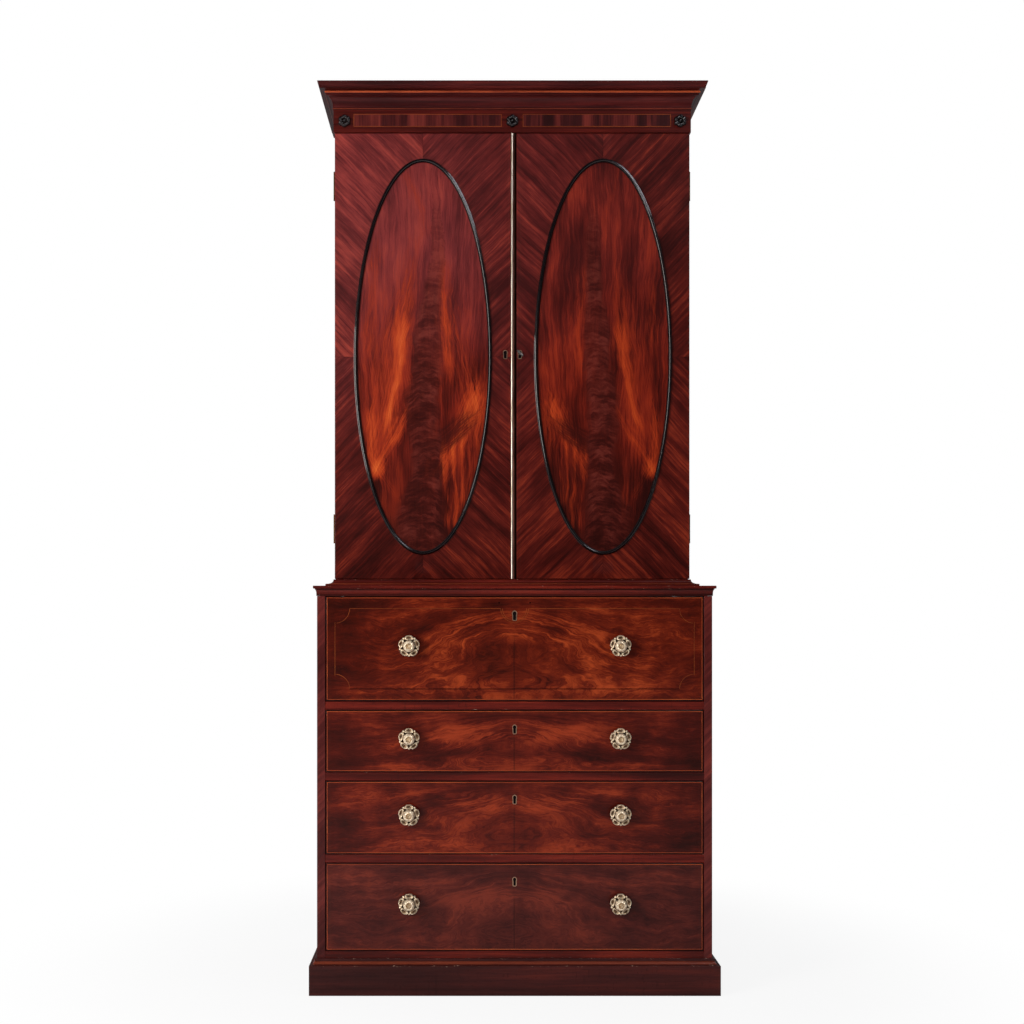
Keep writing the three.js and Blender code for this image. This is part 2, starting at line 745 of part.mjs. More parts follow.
// The frieze board and its returns, with the ledge that closes the case over the doors.
function frieze() {
  const section = [
    [-friezeThickness, friezeBottom],
    [0, friezeBottom],
    [0, friezeTop],
    [-friezeThickness, friezeTop],
  ];
  const ledgeHalf = friezeHalf - friezeThickness + joinLap;
  const ledge = board(
    [-ledgeHalf, ledgeHalf],
    [friezeFace + friezeThickness - joinLap, upperCaseFront + friezeLedgeLap],
    [friezeBottom, friezeBottom + friezeLedgeHeight],
  );
  const shape = join(mitredMoulding(section, friezeHalf, friezeFace, lowerDepth), ledge);
  return piece("frieze", shape, "crossbanding");
}

// The cornice: a small astragal, a cavetto, a bead and a projecting fascia.
function cornice() {
  const { astragal, quirk, coveFoot, coveTop, coveFillet, bead, beadNeck, fasciaFoot, fasciaHead } =
    cornicePoints;
  const foot = friezeTop + glueLine;
  const astragalTop = foot + astragal.height;
  const quirkTop = astragalTop + quirk.height;
  const coveStart = quirkTop + coveFoot.height;
  const coveEnd = coveStart + coveTop.height;
  const filletTop = coveEnd + coveFillet.height;
  const beadTop = filletTop + bead.height;
  const neckTop = beadTop + beadNeck.height;
  const beadShoulder = coveFillet.out + (bead.out - coveFillet.out) * beadShoulderShare;
  const section = [
    [-corniceThickness, foot],
    [0, foot],
    [astragal.out, (foot + astragalTop) / 2],
    [quirk.out, astragalTop],
    [quirk.out, quirkTop],
    ...quarter([coveFoot.out, coveStart], [coveTop.out, coveEnd], coveSteps, true),
    [coveFillet.out, filletTop],
    [beadShoulder, filletTop],
    [bead.out, (filletTop + beadTop) / 2],
    [beadShoulder, beadTop],
    [beadNeck.out, beadTop],
    [beadNeck.out, neckTop],
    [fasciaFoot.out, neckTop],
    [fasciaHead.out, neckTop + fasciaHead.height],
    [corniceOverhang, corniceTop],
    [-corniceThickness, corniceTop],
  ];
  return piece("cornice", mitredMoulding(section, friezeHalf, friezeFace, lowerDepth), "mahogany");
}

function roundel(name, x) {
  const seat = [x, friezeFace - glueLine, (friezeBottom + friezeTop) / 2];
  const shape = rosette(
    roundelOutlineShares,
    roundelRadius,
    roundelProud,
    roundelPetals,
    roundelStepsPerPetal,
    seat,
  );
  return piece(name, shape, "ebonised");
}

// A door: the veneered board with an oval pocket, the oval panel in it and the bead round that.
function doorParts(name, xs) {
  const middle = [(xs[0] + xs[1]) / 2, doorMiddle - ovalDrop];
  const oval = (inset) => ellipse(ovalHalfWidth - inset, ovalHalfHeight - inset, ovalSteps, middle);
  const pocketFloor = upperSetback + ovalPocketDepth;
  const blank = board(xs, [upperSetback, doorBack], [doorBottom, doorTop]);
  const pocket = plate(oval(0), upperSetback - overrun, pocketFloor);
  const panel = plate(oval(glueLine), upperSetback + ovalPanelSink, pocketFloor - glueLine);
  const rings = oval(0).map((point) => {
    const across = new THREE.Vector2(
      (point.x - middle[0]) / ovalHalfWidth ** 2,
      (point.y - middle[1]) / ovalHalfHeight ** 2,
    ).normalize();
    return beadOutlineShares.map(([widthShare, proudShare]) => {
      const place = point.clone().addScaledVector(across, (widthShare * beadWidth) / 2);
      return [place.x, upperSetback - glueLine - proudShare * beadProud, place.y];
    });
  });
  return {
    blank: cut(blank, pocket),
    panel: piece(`${name}_oval_panel`, panel, "flameVeneer"),
    bead: piece(`${name}_oval_bead`, skin(rings, { meets: true }), "ebonised"),
  };
}

// The brass strip on the meeting edge of the left door: a rounded bead and a lower fillet.
function astragal() {
  const left = leftDoorMeeting + glueLine;
  const right = leftDoorMeeting + astragalWidth;
  const beadRight = right - astragalFilletWidth;
  const shoulder = upperSetback - astragalProud / 2;
  const section = [
    [left, doorBack],
    [left, shoulder],
    [(3 * left + beadRight) / 4, upperSetback - astragalProud],
    [(left + 3 * beadRight) / 4, upperSetback - astragalProud],
    [beadRight, shoulder],
    [right, shoulder],
    [right, doorBack],
  ];
  const cap = section.map(([x, y]) => new THREE.Vector2(x, y));
  const rings = [doorBottom, doorTop].map((z) => section.map(([x, y]) => [x, y, z]));
  return piece("door_astragal", skin(rings, { cap }), "brass");
}

// A butt hinge at one height. Its pin stands beside the case, in the gap behind the door.
const hingeAxis = { x: upperHalf + knuckleRadius + knucklePlay, y: doorBack + hingeGap / 2 };
const hingeHeights = { lower: doorBottom + hingeInset, upper: doorTop - hingeInset };

function hingeLeaves(side, height) {
  const ends = [height - hingeLength / 2, height + hingeLength / 2];
  const third = hingeLength / 3;
  const middle = [ends[0] + third + knucklePlay / 2, ends[1] - third - knucklePlay / 2];
  const centre = [side * hingeAxis.x, hingeAxis.y];
  const knuckle = (zs, radius = knuckleRadius) => bar("z", zs, centre, radius, hingeSides);
  const leafXs = [side * hingeAxis.x, side * (upperHalf - leafWidth)];
  const leaf = (ys, zs) => board(leafXs, ys, zs);
  const doorLeafYs = [doorBack + glueLine, doorBack + glueLine + leafThickness];
  const caseLeafYs = [upperCaseFront - glueLine - leafThickness, upperCaseFront - glueLine];
  const clear = (zs) =>
    board(
      [side * (hingeAxis.x - knuckleRadius - knucklePlay / 2), side * (hingeAxis.x + knuckleRadius)],
      [hingeAxis.y - knuckleRadius - overrun, hingeAxis.y + knuckleRadius + overrun],
      zs,
    );
  const lowEnd = [ends[0], middle[0] - knucklePlay];
  const highEnd = [middle[1] + knucklePlay, ends[1]];
  const caseLeaf = join(
    cut(leaf(caseLeafYs, ends), clear([lowEnd[1], highEnd[0]])),
    knuckle(lowEnd),
    knuckle(highEnd),
    knuckle(ends, hingePinRadius),
  );
  const doorFlap = cut(
    leaf(doorLeafYs, ends),
    clear([ends[0] - overrun, middle[0]]),
    clear([middle[1], ends[1] + overrun]),
  );
  const pinHole = knuckle([ends[0] - overrun, ends[1] + overrun], hingePinRadius + pivotClearance);
  const doorLeaf = cut(join(doorFlap, knuckle(middle)), pinHole);
  return { caseLeaf, doorLeaf };
}

function caseLeaves() {
  return [-1, 1].flatMap((side) =>
    Object.entries(hingeHeights).map(([place, height]) =>
      piece(
        `${side < 0 ? "left" : "right"}_${place}_hinge_case_leaf`,
        hingeLeaves(side, height).caseLeaf,
        "hingeBrass",
      ),
    ),
  );
}

function doorLeaves(name, side) {
  return Object.entries(hingeHeights).map(([place, height]) =>
    piece(`${name}_${place}_hinge_door_leaf`, hingeLeaves(side, height).doorLeaf, "hingeBrass"),
  );
}

function leftDoor() {
  const { blank, panel, bead } = doorParts("left_door", [-upperHalf, leftDoorMeeting]);
  const face = piece("left_door_board", blank, "stripedVeneer");
  return assembly(face, panel, bead, astragal(), doorLeaves("left", -1));
}

const keyX = rightDoorMeeting + keyFromMeeting;
const keyZ = doorMiddle + keyRise;

function rightDoor() {
  const { blank, panel, bead } = doorParts("right_door", [rightDoorMeeting, upperHalf]);
  const hole = bar(
    "y",
    [upperSetback - overrun, upperSetback + keyShankDepth + glueLine],
    [keyX, keyZ],
    keyShankRadius + pivotClearance,
    hingeSides,
  );
  const face = piece("right_door_board", cut(blank, hole), "stripedVeneer");
  return assembly(face, panel, bead, doorLeaves("right", 1));
}

// The key, its shank in the lock and its bow turned halfway between upright and level.
function doorKey() {
  const bowOuter = ellipse(keyBowHalfWidth, keyBowHalfLength, keyBowSteps);
  const bowInner = ellipse(keyBowHalfWidth - keyBowBar, keyBowHalfLength - keyBowBar, keyBowSteps);
  const bow = plate(bowOuter, -keyBowThickness / 2, keyBowThickness / 2, bowInner);
  bow.rotateX(Math.PI / 2).rotateY(keyTilt);
  bow.translate(keyX, upperSetback - keyShankReach - keyBowHalfLength, keyZ);
  const front = upperSetback - keyShankReach - keyBowBar / 2;
  const shank = bar("y", [front, upperSetback + keyShankDepth], [keyX, keyZ], keyShankRadius, hingeSides);
  return piece("door_key", join(bow, shank), "steel");
}

const lowerCase = assembly(
  plinth(),
  lowerSide("lower_side_left", -1),
  lowerSide("lower_side_right", 1),
  lowerBottomBoard(),
  lowerBackBoard(),
  lowerTopBoard(),
  divider("drawer_divider_lower", lowerDividerTop),
  divider("drawer_divider_middle", middleDividerTop),
  divider("drawer_divider_upper", upperDividerTop),
);

const longDrawers = assembly(
  longDrawer("bottom_drawer", bottomBoardTop, bottomDrawerSpace),
  longDrawer("middle_drawer", lowerDividerTop, middleDrawerSpace),
  longDrawer("top_drawer", middleDividerTop, topDrawerSpace),
);

const secretaire = assembly(
  secretaireBox(),
  pigeonholes(),
  smallDrawer("small_drawer_left", -1),
  smallDrawer("small_drawer_right", 1),
  fallFront(),
  knobPair("fall", knobHeight(fallBottom, fallTop, fallKnobRiseShare)),
  quadrant("fall_quadrant_left", -1),
  quadrant("fall_quadrant_right", 1),
);

const upperCase = assembly(
  waistMoulding(),
  upperSide("upper_side_left", -1),
  upperSide("upper_side_right", 1),
  upperFlatBoard("upper_bottom_board", lowerTop + glueLine),
  upperFlatBoard("upper_top_board", shelfCeiling),
  upperBackBoard(),
  shelf("shelf_lower", shelfHeights[0]),
  shelf("shelf_upper", shelfHeights[1]),
  frieze(),
  cornice(),
  roundel("roundel_left", -(friezeHalf - roundelInset)),
  roundel("roundel_centre", 0),
  roundel("roundel_right", friezeHalf - roundelInset),
  caseLeaves(),
);

const bookcase = assembly(lowerCase, longDrawers, secretaire, upperCase, leftDoor(), rightDoor(), doorKey());
bookcase.position.y = -(lowerDepth - knobReach) / 2;

export default bookcase;
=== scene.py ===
"""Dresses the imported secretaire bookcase: polished veneers, inlay, cast brass, studio and camera.

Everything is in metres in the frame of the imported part: +Z up, the front towards -Y and the floor
at z = 0. Each finished piece's object stays at the origin, so object coordinates are places on
the resting piece, and the figures of the veneers are laid out in them.
"""

import logging
import math
from dataclasses import dataclass
from enum import Enum
from itertools import product

import bpy
import numpy as np
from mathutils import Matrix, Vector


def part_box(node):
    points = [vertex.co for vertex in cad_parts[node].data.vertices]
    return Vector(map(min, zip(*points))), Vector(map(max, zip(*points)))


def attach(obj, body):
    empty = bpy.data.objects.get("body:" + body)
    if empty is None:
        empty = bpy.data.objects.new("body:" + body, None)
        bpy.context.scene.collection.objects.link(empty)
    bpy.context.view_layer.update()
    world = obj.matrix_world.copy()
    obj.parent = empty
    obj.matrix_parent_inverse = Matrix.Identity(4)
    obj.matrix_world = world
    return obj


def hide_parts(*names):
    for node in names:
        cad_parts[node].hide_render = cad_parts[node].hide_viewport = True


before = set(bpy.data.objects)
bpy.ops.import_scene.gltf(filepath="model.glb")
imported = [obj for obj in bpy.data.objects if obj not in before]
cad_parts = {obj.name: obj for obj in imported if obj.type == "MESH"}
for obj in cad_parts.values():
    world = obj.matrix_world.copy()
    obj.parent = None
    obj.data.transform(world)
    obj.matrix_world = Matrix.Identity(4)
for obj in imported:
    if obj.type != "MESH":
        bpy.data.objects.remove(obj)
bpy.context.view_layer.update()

log = logging.getLogger("secretaire_bookcase")

MM = 0.001
BROAD = 0.006
DIAGONAL = math.sqrt(0.5)
SIDES = ("left", "right")


# Node maths

class Sock:
    """A node socket that Python operators work on: each operator adds a Math node."""

    def __init__(self, shader: "Shader", socket: bpy.types.NodeSocket) -> None:
        """Keeps the socket and the shader that it belongs to."""
        self.shader = shader
        self.socket = socket

    def __add__(self, other: "Value") -> "Sock":
        """self + other."""
        return self.shader.math("ADD", self, other)

    def __radd__(self, other: "Value") -> "Sock":
        """other + self."""
        return self.shader.math("ADD", other, self)

    def __sub__(self, other: "Value") -> "Sock":
        """self - other."""
        return self.shader.math("SUBTRACT", self, other)

    def __rsub__(self, other: "Value") -> "Sock":
        """other - self."""
        return self.shader.math("SUBTRACT", other, self)

    def __mul__(self, other: "Value") -> "Sock":
        """self * other."""
        return self.shader.math("MULTIPLY", self, other)

    def __rmul__(self, other: "Value") -> "Sock":
        """other * self."""
        return self.shader.math("MULTIPLY", other, self)

    def __truediv__(self, other: "Value") -> "Sock":
        """self / other."""
        return self.shader.math("DIVIDE", self, other)

    def __pow__(self, other: "Value") -> "Sock":
        """self to the power other."""
        return self.shader.math("POWER", self, other)

    def __abs__(self) -> "Sock":
        """The size of self."""
        return self.shader.math("ABSOLUTE", self)

    def __gt__(self, other: "Value") -> "Sock":
        """1 where self is greater than other, else 0."""
        return self.shader.math("GREATER_THAN", self, other)

    def step(self, low: float, high: float) -> "Sock":
        """Rises smoothly from 0 at low to 1 at high, or falls where low is greater than high.

        Args:
            low: where it is 0.
            high: where it is 1.

        Returns:
            The share from 0 to 1.
        """
        start, end, flip = (low, high, False) if low < high else (high, low, True)
        risen = self.shader.node("ShaderNodeMapRange", {"interpolation_type": "SMOOTHSTEP"},
                                 {"Value": self, "From Min": start, "From Max": end})
        return 1.0 - risen if flip else risen

    def band(self, middle: float, half: float, soft: float) -> "Sock":
        """1 within half of a middle value, falling to 0 over soft beyond it."""
        return abs(self - middle).step(half + soft, half)


Value = Sock | float
Colour = tuple[float, float, float]
Flat = tuple[float, float]


def shade(red: int, green: int, blue: int) -> Colour:
    """A colour given as it shows on a screen, 0 to 255, in the linear numbers that a node takes."""
    scaled = (part / 255 for part in (red, green, blue))
    return tuple(c / 12.92 if c <= 0.04045 else ((c + 0.055) / 1.055) ** 2.4 for c in scaled)


class Shader:
    """A material, or a world, under construction, with one method for any node."""

    def __init__(self, name: str, world: bool = False) -> None:
        """Makes an empty node material of that name, or a world.

        Args:
            name: its name.
            world: whether it is a world.
        """
        self.owner = (bpy.data.worlds if world else bpy.data.materials).new(name)
        self.owner.use_nodes = True
        self.nodes = self.owner.node_tree.nodes
        self.links = self.owner.node_tree.links
        self.nodes.clear()
        self.output = "ShaderNodeOutputWorld" if world else "ShaderNodeOutputMaterial"
        self.kept_place: tuple[Sock, Sock, Sock] | None = None

    def feed(self, socket: bpy.types.NodeSocket, value: object) -> None:
        """Links a Sock to an input, or writes a number, a vector or a colour into it.

        Args:
            socket: the input.
            value: what it gets.
        """
        if isinstance(value, Sock):
            self.links.new(value.socket, socket)
        elif socket.type == "RGBA":
            socket.default_value = (*value, 1.0)
        else:
            socket.default_value = value

    def node(self, kind: str, settings: dict | None = None, inputs: dict | None = None,
             output: int | str = 0) -> Sock:
        """Adds any node.

        Args:
            kind: the node's type name.
            settings: its properties; "stops" are a ramp's (place, colour) pairs, "ease" softens it.
            inputs: values or links of its sockets, by name or number.
            output: which output to give back.

        Returns:
            The wanted output.
        """
        made = self.nodes.new(kind)
        for key, value in (settings or {}).items():
            if key == "stops":
                self.fill_ramp(made.color_ramp, value)
            elif key == "ease":
                made.color_ramp.interpolation = "EASE"
            else:
                setattr(made, key, value)
        for key, value in (inputs or {}).items():
            self.feed(made.inputs[key], value)
        return Sock(self, made.outputs[output])

    @staticmethod
    def fill_ramp(ramp: bpy.types.ColorRamp, stops: list[tuple[float, Colour]]) -> None:
        """Writes a ramp's stops in order.

        Args:
            ramp: the ramp.
            stops: its (place, colour) pairs.
        """
        while len(ramp.elements) < len(stops):
            ramp.elements.new(1.0)
        for element, (place, colour) in zip(ramp.elements, stops):
            element.position = place
            element.color = (*colour, 1.0)

    def math(self, operation: str, *values: Value) -> Sock:
        """A Math node of that operation on one, two or three values."""
        return self.node("ShaderNodeMath", {"operation": operation}, dict(enumerate(values)))

    def mix(self, factor: Value, first: object, second: object) -> Sock:
        """Mixes two colours by a factor from 0 to 1."""
        settings = {"data_type": "RGBA", "clamp_factor": True}
        return self.node("ShaderNodeMix", settings, {0: factor, 6: first, 7: second}, output=2)

    def ramp(self, value: Sock, stops: list[tuple[float, Colour]]) -> Sock:
        """The colour at value, on stops of (place, colour)."""
        return self.node("ShaderNodeValToRGB", {"stops": stops}, {0: value})

    def curve(self, value: Sock, stops: list[Flat]) -> Sock:
        """A number that follows eased (value, number) stops, and stays flat beyond their ends.

        Args:
            value: what it follows.
            stops: the pairs, rising.

        Returns:
            The number.
        """
        first, last = stops[0][0], stops[-1][0]
        numbers = [number for _, number in stops]
        least, spread = min(numbers), max(numbers) - min(numbers)
        greys = [((place - first) / (last - first), ((number - least) / spread,) * 3)
                 for place, number in stops]
        share = (value - first) / (last - first)
        eased = self.node("ShaderNodeValToRGB", {"stops": greys, "ease": True}, {0: share})
        return eased * spread + least

    def place(self) -> tuple[Sock, Sock, Sock]:
        """X, Y and Z of the shaded point on the resting piece, in metres.

        Returns:
            The three numbers.
        """
        if self.kept_place is None:
            point = self.node("ShaderNodeTexCoord", output="Object")
            split = [self.node("ShaderNodeSeparateXYZ", inputs={0: point}, output=i) for i in range(3)]
            self.kept_place = tuple(split)
        return self.kept_place

    def noise(self, x: Value, y: Value, z: Value, detail: float = 3.0, rough: float = 0.55) -> Sock:
        """Smooth noise from 0 to 1 on a point whose unit is one feature.

        Args:
            x, y, z: the point.
            detail: how many finer layers it has.
            rough: how much each of these counts.

        Returns:
            The noise.
        """
        point = self.node("ShaderNodeCombineXYZ", inputs={0: x, 1: y, 2: z})
        inputs = {"Vector": point, "Scale": 1.0, "Detail": detail, "Roughness": rough}
        return self.node("ShaderNodeTexNoise", inputs=inputs)

    def stroke(self, u: Sock, v: Sock, start: Flat, end: Flat, width: float) -> Sock:
        """About 1 on the straight line from start to end, falling to 0 at width beside it.

        The share of the way along is clamped to 0 and 1, so the stroke has round ends. Noise
        drawn out along the stroke gives it fibres, and slower noise frays its sides.

        Args:
            u, v: the shaded place.
            start: one end of the line.
            end: its other end.
            width: how far it reaches to its sides.

        Returns:
            The strength of the stroke, with its fibres.
        """
        run, rise = end[0] - start[0], end[1] - start[1]
        length = math.hypot(run, rise)
        du, dv = u - start[0], v - start[1]
        along = (du * run + dv * rise) / length
        across = (du * rise - dv * run) / length
        share = self.node("ShaderNodeClamp", inputs={0: along / length})
        beyond = along - share * length
        fibres = self.noise(across * 230.0, along * 9.0, start[0] * 50.0, 4.0, 0.7)
        hair = self.noise(across * 900.0, along * 18.0, start[1] * 50.0, 2.0, 0.6)
        fray = self.noise(across * 60.0, along * 26.0, start[1] * 31.0, 3.0, 0.6) - 0.5
        away = (across * across + beyond * beyond * 0.15) ** 0.5 + fray * width * 0.9
        lick = away.step(width * 1.15, 0.0)
        return lick * ((fibres - 0.5) * 3.6 + (hair - 0.5) * 2.0 + 1.0)

    def bump(self, height: Sock, strength: float, distance: float) -> Sock:
        """A normal bent by a height map."""
        return self.node("ShaderNodeBump", inputs={"Height": height, "Strength": strength,
                                                   "Distance": distance})

    def surface(self, **sockets: object) -> bpy.types.Material:
        """Closes the material with a Principled shader, its sockets given by name with _ for spaces."""
        inputs = {key.replace("_", " "): value for key, value in sockets.items()}
        return self.close(self.node("ShaderNodeBsdfPrincipled", inputs=inputs))

    def close(self, shader: Sock) -> bpy.types.Material | bpy.types.World:
        """Links a shader to the output, and gives the finished material or world."""
        self.links.new(shader.socket, self.nodes.new(self.output).inputs["Surface"])
        return self.owner


# Finishes

class Grain(Enum):
    """Which way the fibres of a plain wood run."""

    ALONG_X = "x"
    ALONG_Y = "y"
    ALONG_Z = "z"
    MITRED = "mitred"
    SLANTED = "slanted"


@dataclass(frozen=True)
class Polish:
    """How French polish lies on a wood."""

    roughness: float = 0.32
    specular: float = 0.1
    coat: float = 0.08
    coat_roughness: float = 0.08
    relief: float = 0.10


@dataclass(frozen=True)
class Tones:
    """The colours of a wood from its darkest to its brightest streaks."""

    dark: Colour
    middle: Colour
    light: Colour
    bright: Colour

    def stops(self) -> list[tuple[float, Colour]]:
        """The ramp that turns a tone into colour."""
        return [(0.22, self.dark), (0.46, self.middle), (0.62, self.light), (0.82, self.bright)]


@dataclass(frozen=True)
class Wood:
    """A plain sawn wood or straight veneer, with streaks, pores and broad clouds of colour.

    Worn places are heights at which an arris shows small pale nicks. Polish sheen places are
    (height, half breadth, share) of beads given a warmer tone in patches as painted highlight,
    and painted shade bands are the same for hollows and places under a lip, darkened as
    painted shade. Mitred grain turns round the corners of a case, which stand at mitre_half on
    both sides of the middle and at mitre_front.
    """

    name: str
    tones: Tones
    grain: Grain = Grain.ALONG_X
    polish: Polish = Polish()
    streaks: float = 90.0
    seed: float = 0.0
    mitre_half: float = 0.0
    mitre_front: float = 0.0
    worn: tuple[float, ...] = ()
    rubbed: tuple[tuple[float, ...], ...] = ()
    painted_shade_bands: tuple[tuple[float, ...], ...] = ()

    def axes(self, shader: Shader) -> tuple[Sock, Sock, Sock]:
        """The shaded point as (along, across, through) the fibres.

        Args:
            shader: the unfinished material.

        Returns:
            The three ways, in metres.
        """
        x, y, z = shader.place()
        if self.grain is Grain.ALONG_Y:
            return y, x, z
        if self.grain is Grain.ALONG_Z:
            return z, x, y
        if self.grain is Grain.SLANTED:
            return (x + z) * DIAGONAL, (z - x) * DIAGONAL, y
        if self.grain is Grain.MITRED:
            beyond = (abs(x) - self.mitre_half) + (y - self.mitre_front)
            turned = beyond > 0.0
            return x + turned * (y * 1.7 - x), y + turned * (x - y), z
        return x, y, z

    def build(self) -> bpy.types.Material:
        """Makes the material.

        The tone adds broad clouds, streaks drawn out along the fibres and fine fibre lines; a
        ramp turns it into colour. Pores are short dark dashes, sunk a little in the relief.

        Returns:
            The material.
        """
        shader = Shader(self.name)
        along, across, through = self.axes(shader)
        cloud = shader.noise(along * 2.2 + self.seed, across * 9.0, through * 9.0, 2.0, 0.5)
        bent = across + (cloud - 0.5) * 0.03
        streak = shader.noise(along * 3.0 + self.seed, bent * self.streaks,
                              through * self.streaks, 4.0, 0.6)
        fibre = shader.noise(along * 22.0, bent * 900.0, through * 900.0 + self.seed, 2.0, 0.6)
        tone = cloud * 0.8 + streak * 0.8 + fibre * 0.3 - 0.45
        colour = shader.ramp(tone, self.tones.stops())
        return polished(shader, self.nicks_and_painted_light(shader, colour), fibre, along, bent, self.polish)

    def nicks_and_painted_light(self, shader: Shader, colour: Sock) -> Sock:
        """Adds painted highlights as warm bands at the sheen heights, painted shade at the shade bands and
        nicks at the worn.

        Args:
            shader: the unfinished material.
            colour: the colour of the wood.

        Returns:
            The colour with its wear and painted light.
        """
        x, _, z = shader.place()
        # Painted highlight: warm patchy bands on beads, where light catches them.
        for height, half, share in self.rubbed:
            patch = shader.noise(x * 9.0, z * 40.0, height * 7.0, 4.0, 0.65).step(0.2, 0.55) * share
            colour = shader.mix(patch * z.band(height, half, half * 0.8), colour, PAINTED_SHEEN_WOOD)
        # Painted shade: dark bands in hollows and under lips.
        for height, half, share in self.painted_shade_bands:
            colour = shader.mix(z.band(height, half, 0.0012) * share, colour, PORE_AND_PAINTED_SHADE)
        for height in self.worn:
            chips = shader.noise(x * 150.0, z * 500.0, height * 9.0, 2.0, 0.6).step(0.66, 0.72)
            colour = shader.mix(chips * z.band(height, 0.0008, 0.0012) * 0.8, colour, WORN_WOOD)
        return colour


def polished(shader: Shader, colour: Sock, fibre: Sock, along: Sock, across: Sock,
             polish: Polish = Polish()) -> bpy.types.Material:
    """Closes a wood with its pores and French polish.

    Args:
        shader: the unfinished material.
        colour: its colour.
        fibre: fine lines along the grain, 0 to 1.
        along: the way along the fibres.
        across: the way across them.
        polish: how the polish lies.

    Returns:
        The material.
    """
    x, y, z = shader.place()
    pores = shader.noise(along * 190.0, across * 2600.0, y * 900.0, 1.0, 0.5).step(0.6, 0.72)
    shaded = shader.mix(pores * 0.3, colour, PORE_AND_PAINTED_SHADE)
    rubbed = shader.noise(x * 7.0, y * 7.0, z * 7.0, 4.0, 0.6)
    roughness = (rubbed - 0.5) * 0.14 + polish.roughness
    normal = shader.bump(fibre * 0.4 - pores * 0.6, polish.relief, 0.0002)
    return shader.surface(Base_Color=shaded, Roughness=roughness, Normal=normal,
                          Specular_IOR_Level=polish.specular, Coat_Weight=polish.coat,
                          Coat_Roughness=polish.coat_roughness)


@dataclass(frozen=True)
class Quartered:
    """Striped veneer laid in four mirrored quarters round the middle of a door.

    The stripes run at 45 degrees towards the middle: across them, the place is the difference
    of the distances from the two joints. Painted sheen is a paler, pinker cast high on the left, standing for
    a reflection in the polish.
    """

    name: str
    x: float
    z: float
    seed: float

    def build(self) -> bpy.types.Material:
        """Makes the material.

        Returns:
            The material.
        """
        shader = Shader(self.name)
        px, _, pz = shader.place()
        u, v = px - self.x, pz - self.z
        quarter = (u > 0.0) * 3.7 + (v > 0.0) * 8.1 + self.seed
        across = (abs(v) - abs(u)) * DIAGONAL
        along = (abs(u) + abs(v)) * DIAGONAL
        sway = shader.noise(along * 2.6, across * 4.0, quarter, 2.0, 0.5) - 0.5
        shiver = shader.noise(along * 16.0, across * 30.0, quarter, 3.0, 0.6) - 0.5
        line = across + sway * 0.03 + shiver * 0.006
        broad = shader.noise(along * 2.0, line * 20.0, quarter, 2.0, 0.5)
        stripe = shader.noise(along * 5.0, line * 105.0, quarter, 4.0, 0.62)
        fibre = shader.noise(along * 22.0, line * 620.0, quarter, 2.0, 0.6)
        patch = shader.noise(along * 9.0, line * 13.0, quarter + 2.0, 3.0, 0.6)
        tone = broad * 0.7 + stripe * 1.1 + fibre * 0.6 + patch * 0.7 - 1.06
        near = shader.curve(px, [(-0.45, -0.09), (-0.2, 0.0), (-0.05, 0.08), (0.1, 0.09), (0.46, 0.09)])
        tone = tone + near * shader.curve(pz, [(1.1, 1.0), (1.45, 0.3), (1.7, -0.7), (2.1, -0.8)])
        deep = shader.ramp(tone, QUARTER_LOW.stops())
        # Painted sheen: a paler, pinker copy of the veneer over the upper left of the door.
        painted_sheen_colour = shader.ramp(tone, QUARTER_PAINTED_SHEEN.stops())
        painted_sheen = shader.curve(pz, [(1.05, 0.0), (1.3, 0.12), (1.65, 0.62), (2.05, 1.0)])
        painted_sheen = painted_sheen * shader.curve(px, [(-0.46, 1.0), (-0.25, 0.86), (0.0, 0.5), (0.46, 0.12)])
        colour = shader.mix(painted_sheen, deep, painted_sheen_colour)
        for away in (u, v):
            colour = shader.mix(away.band(0.0, 0.0002, 0.0008) * 0.4, colour, PORE_AND_PAINTED_SHADE)
        return polished(shader, colour, fibre, along, line)


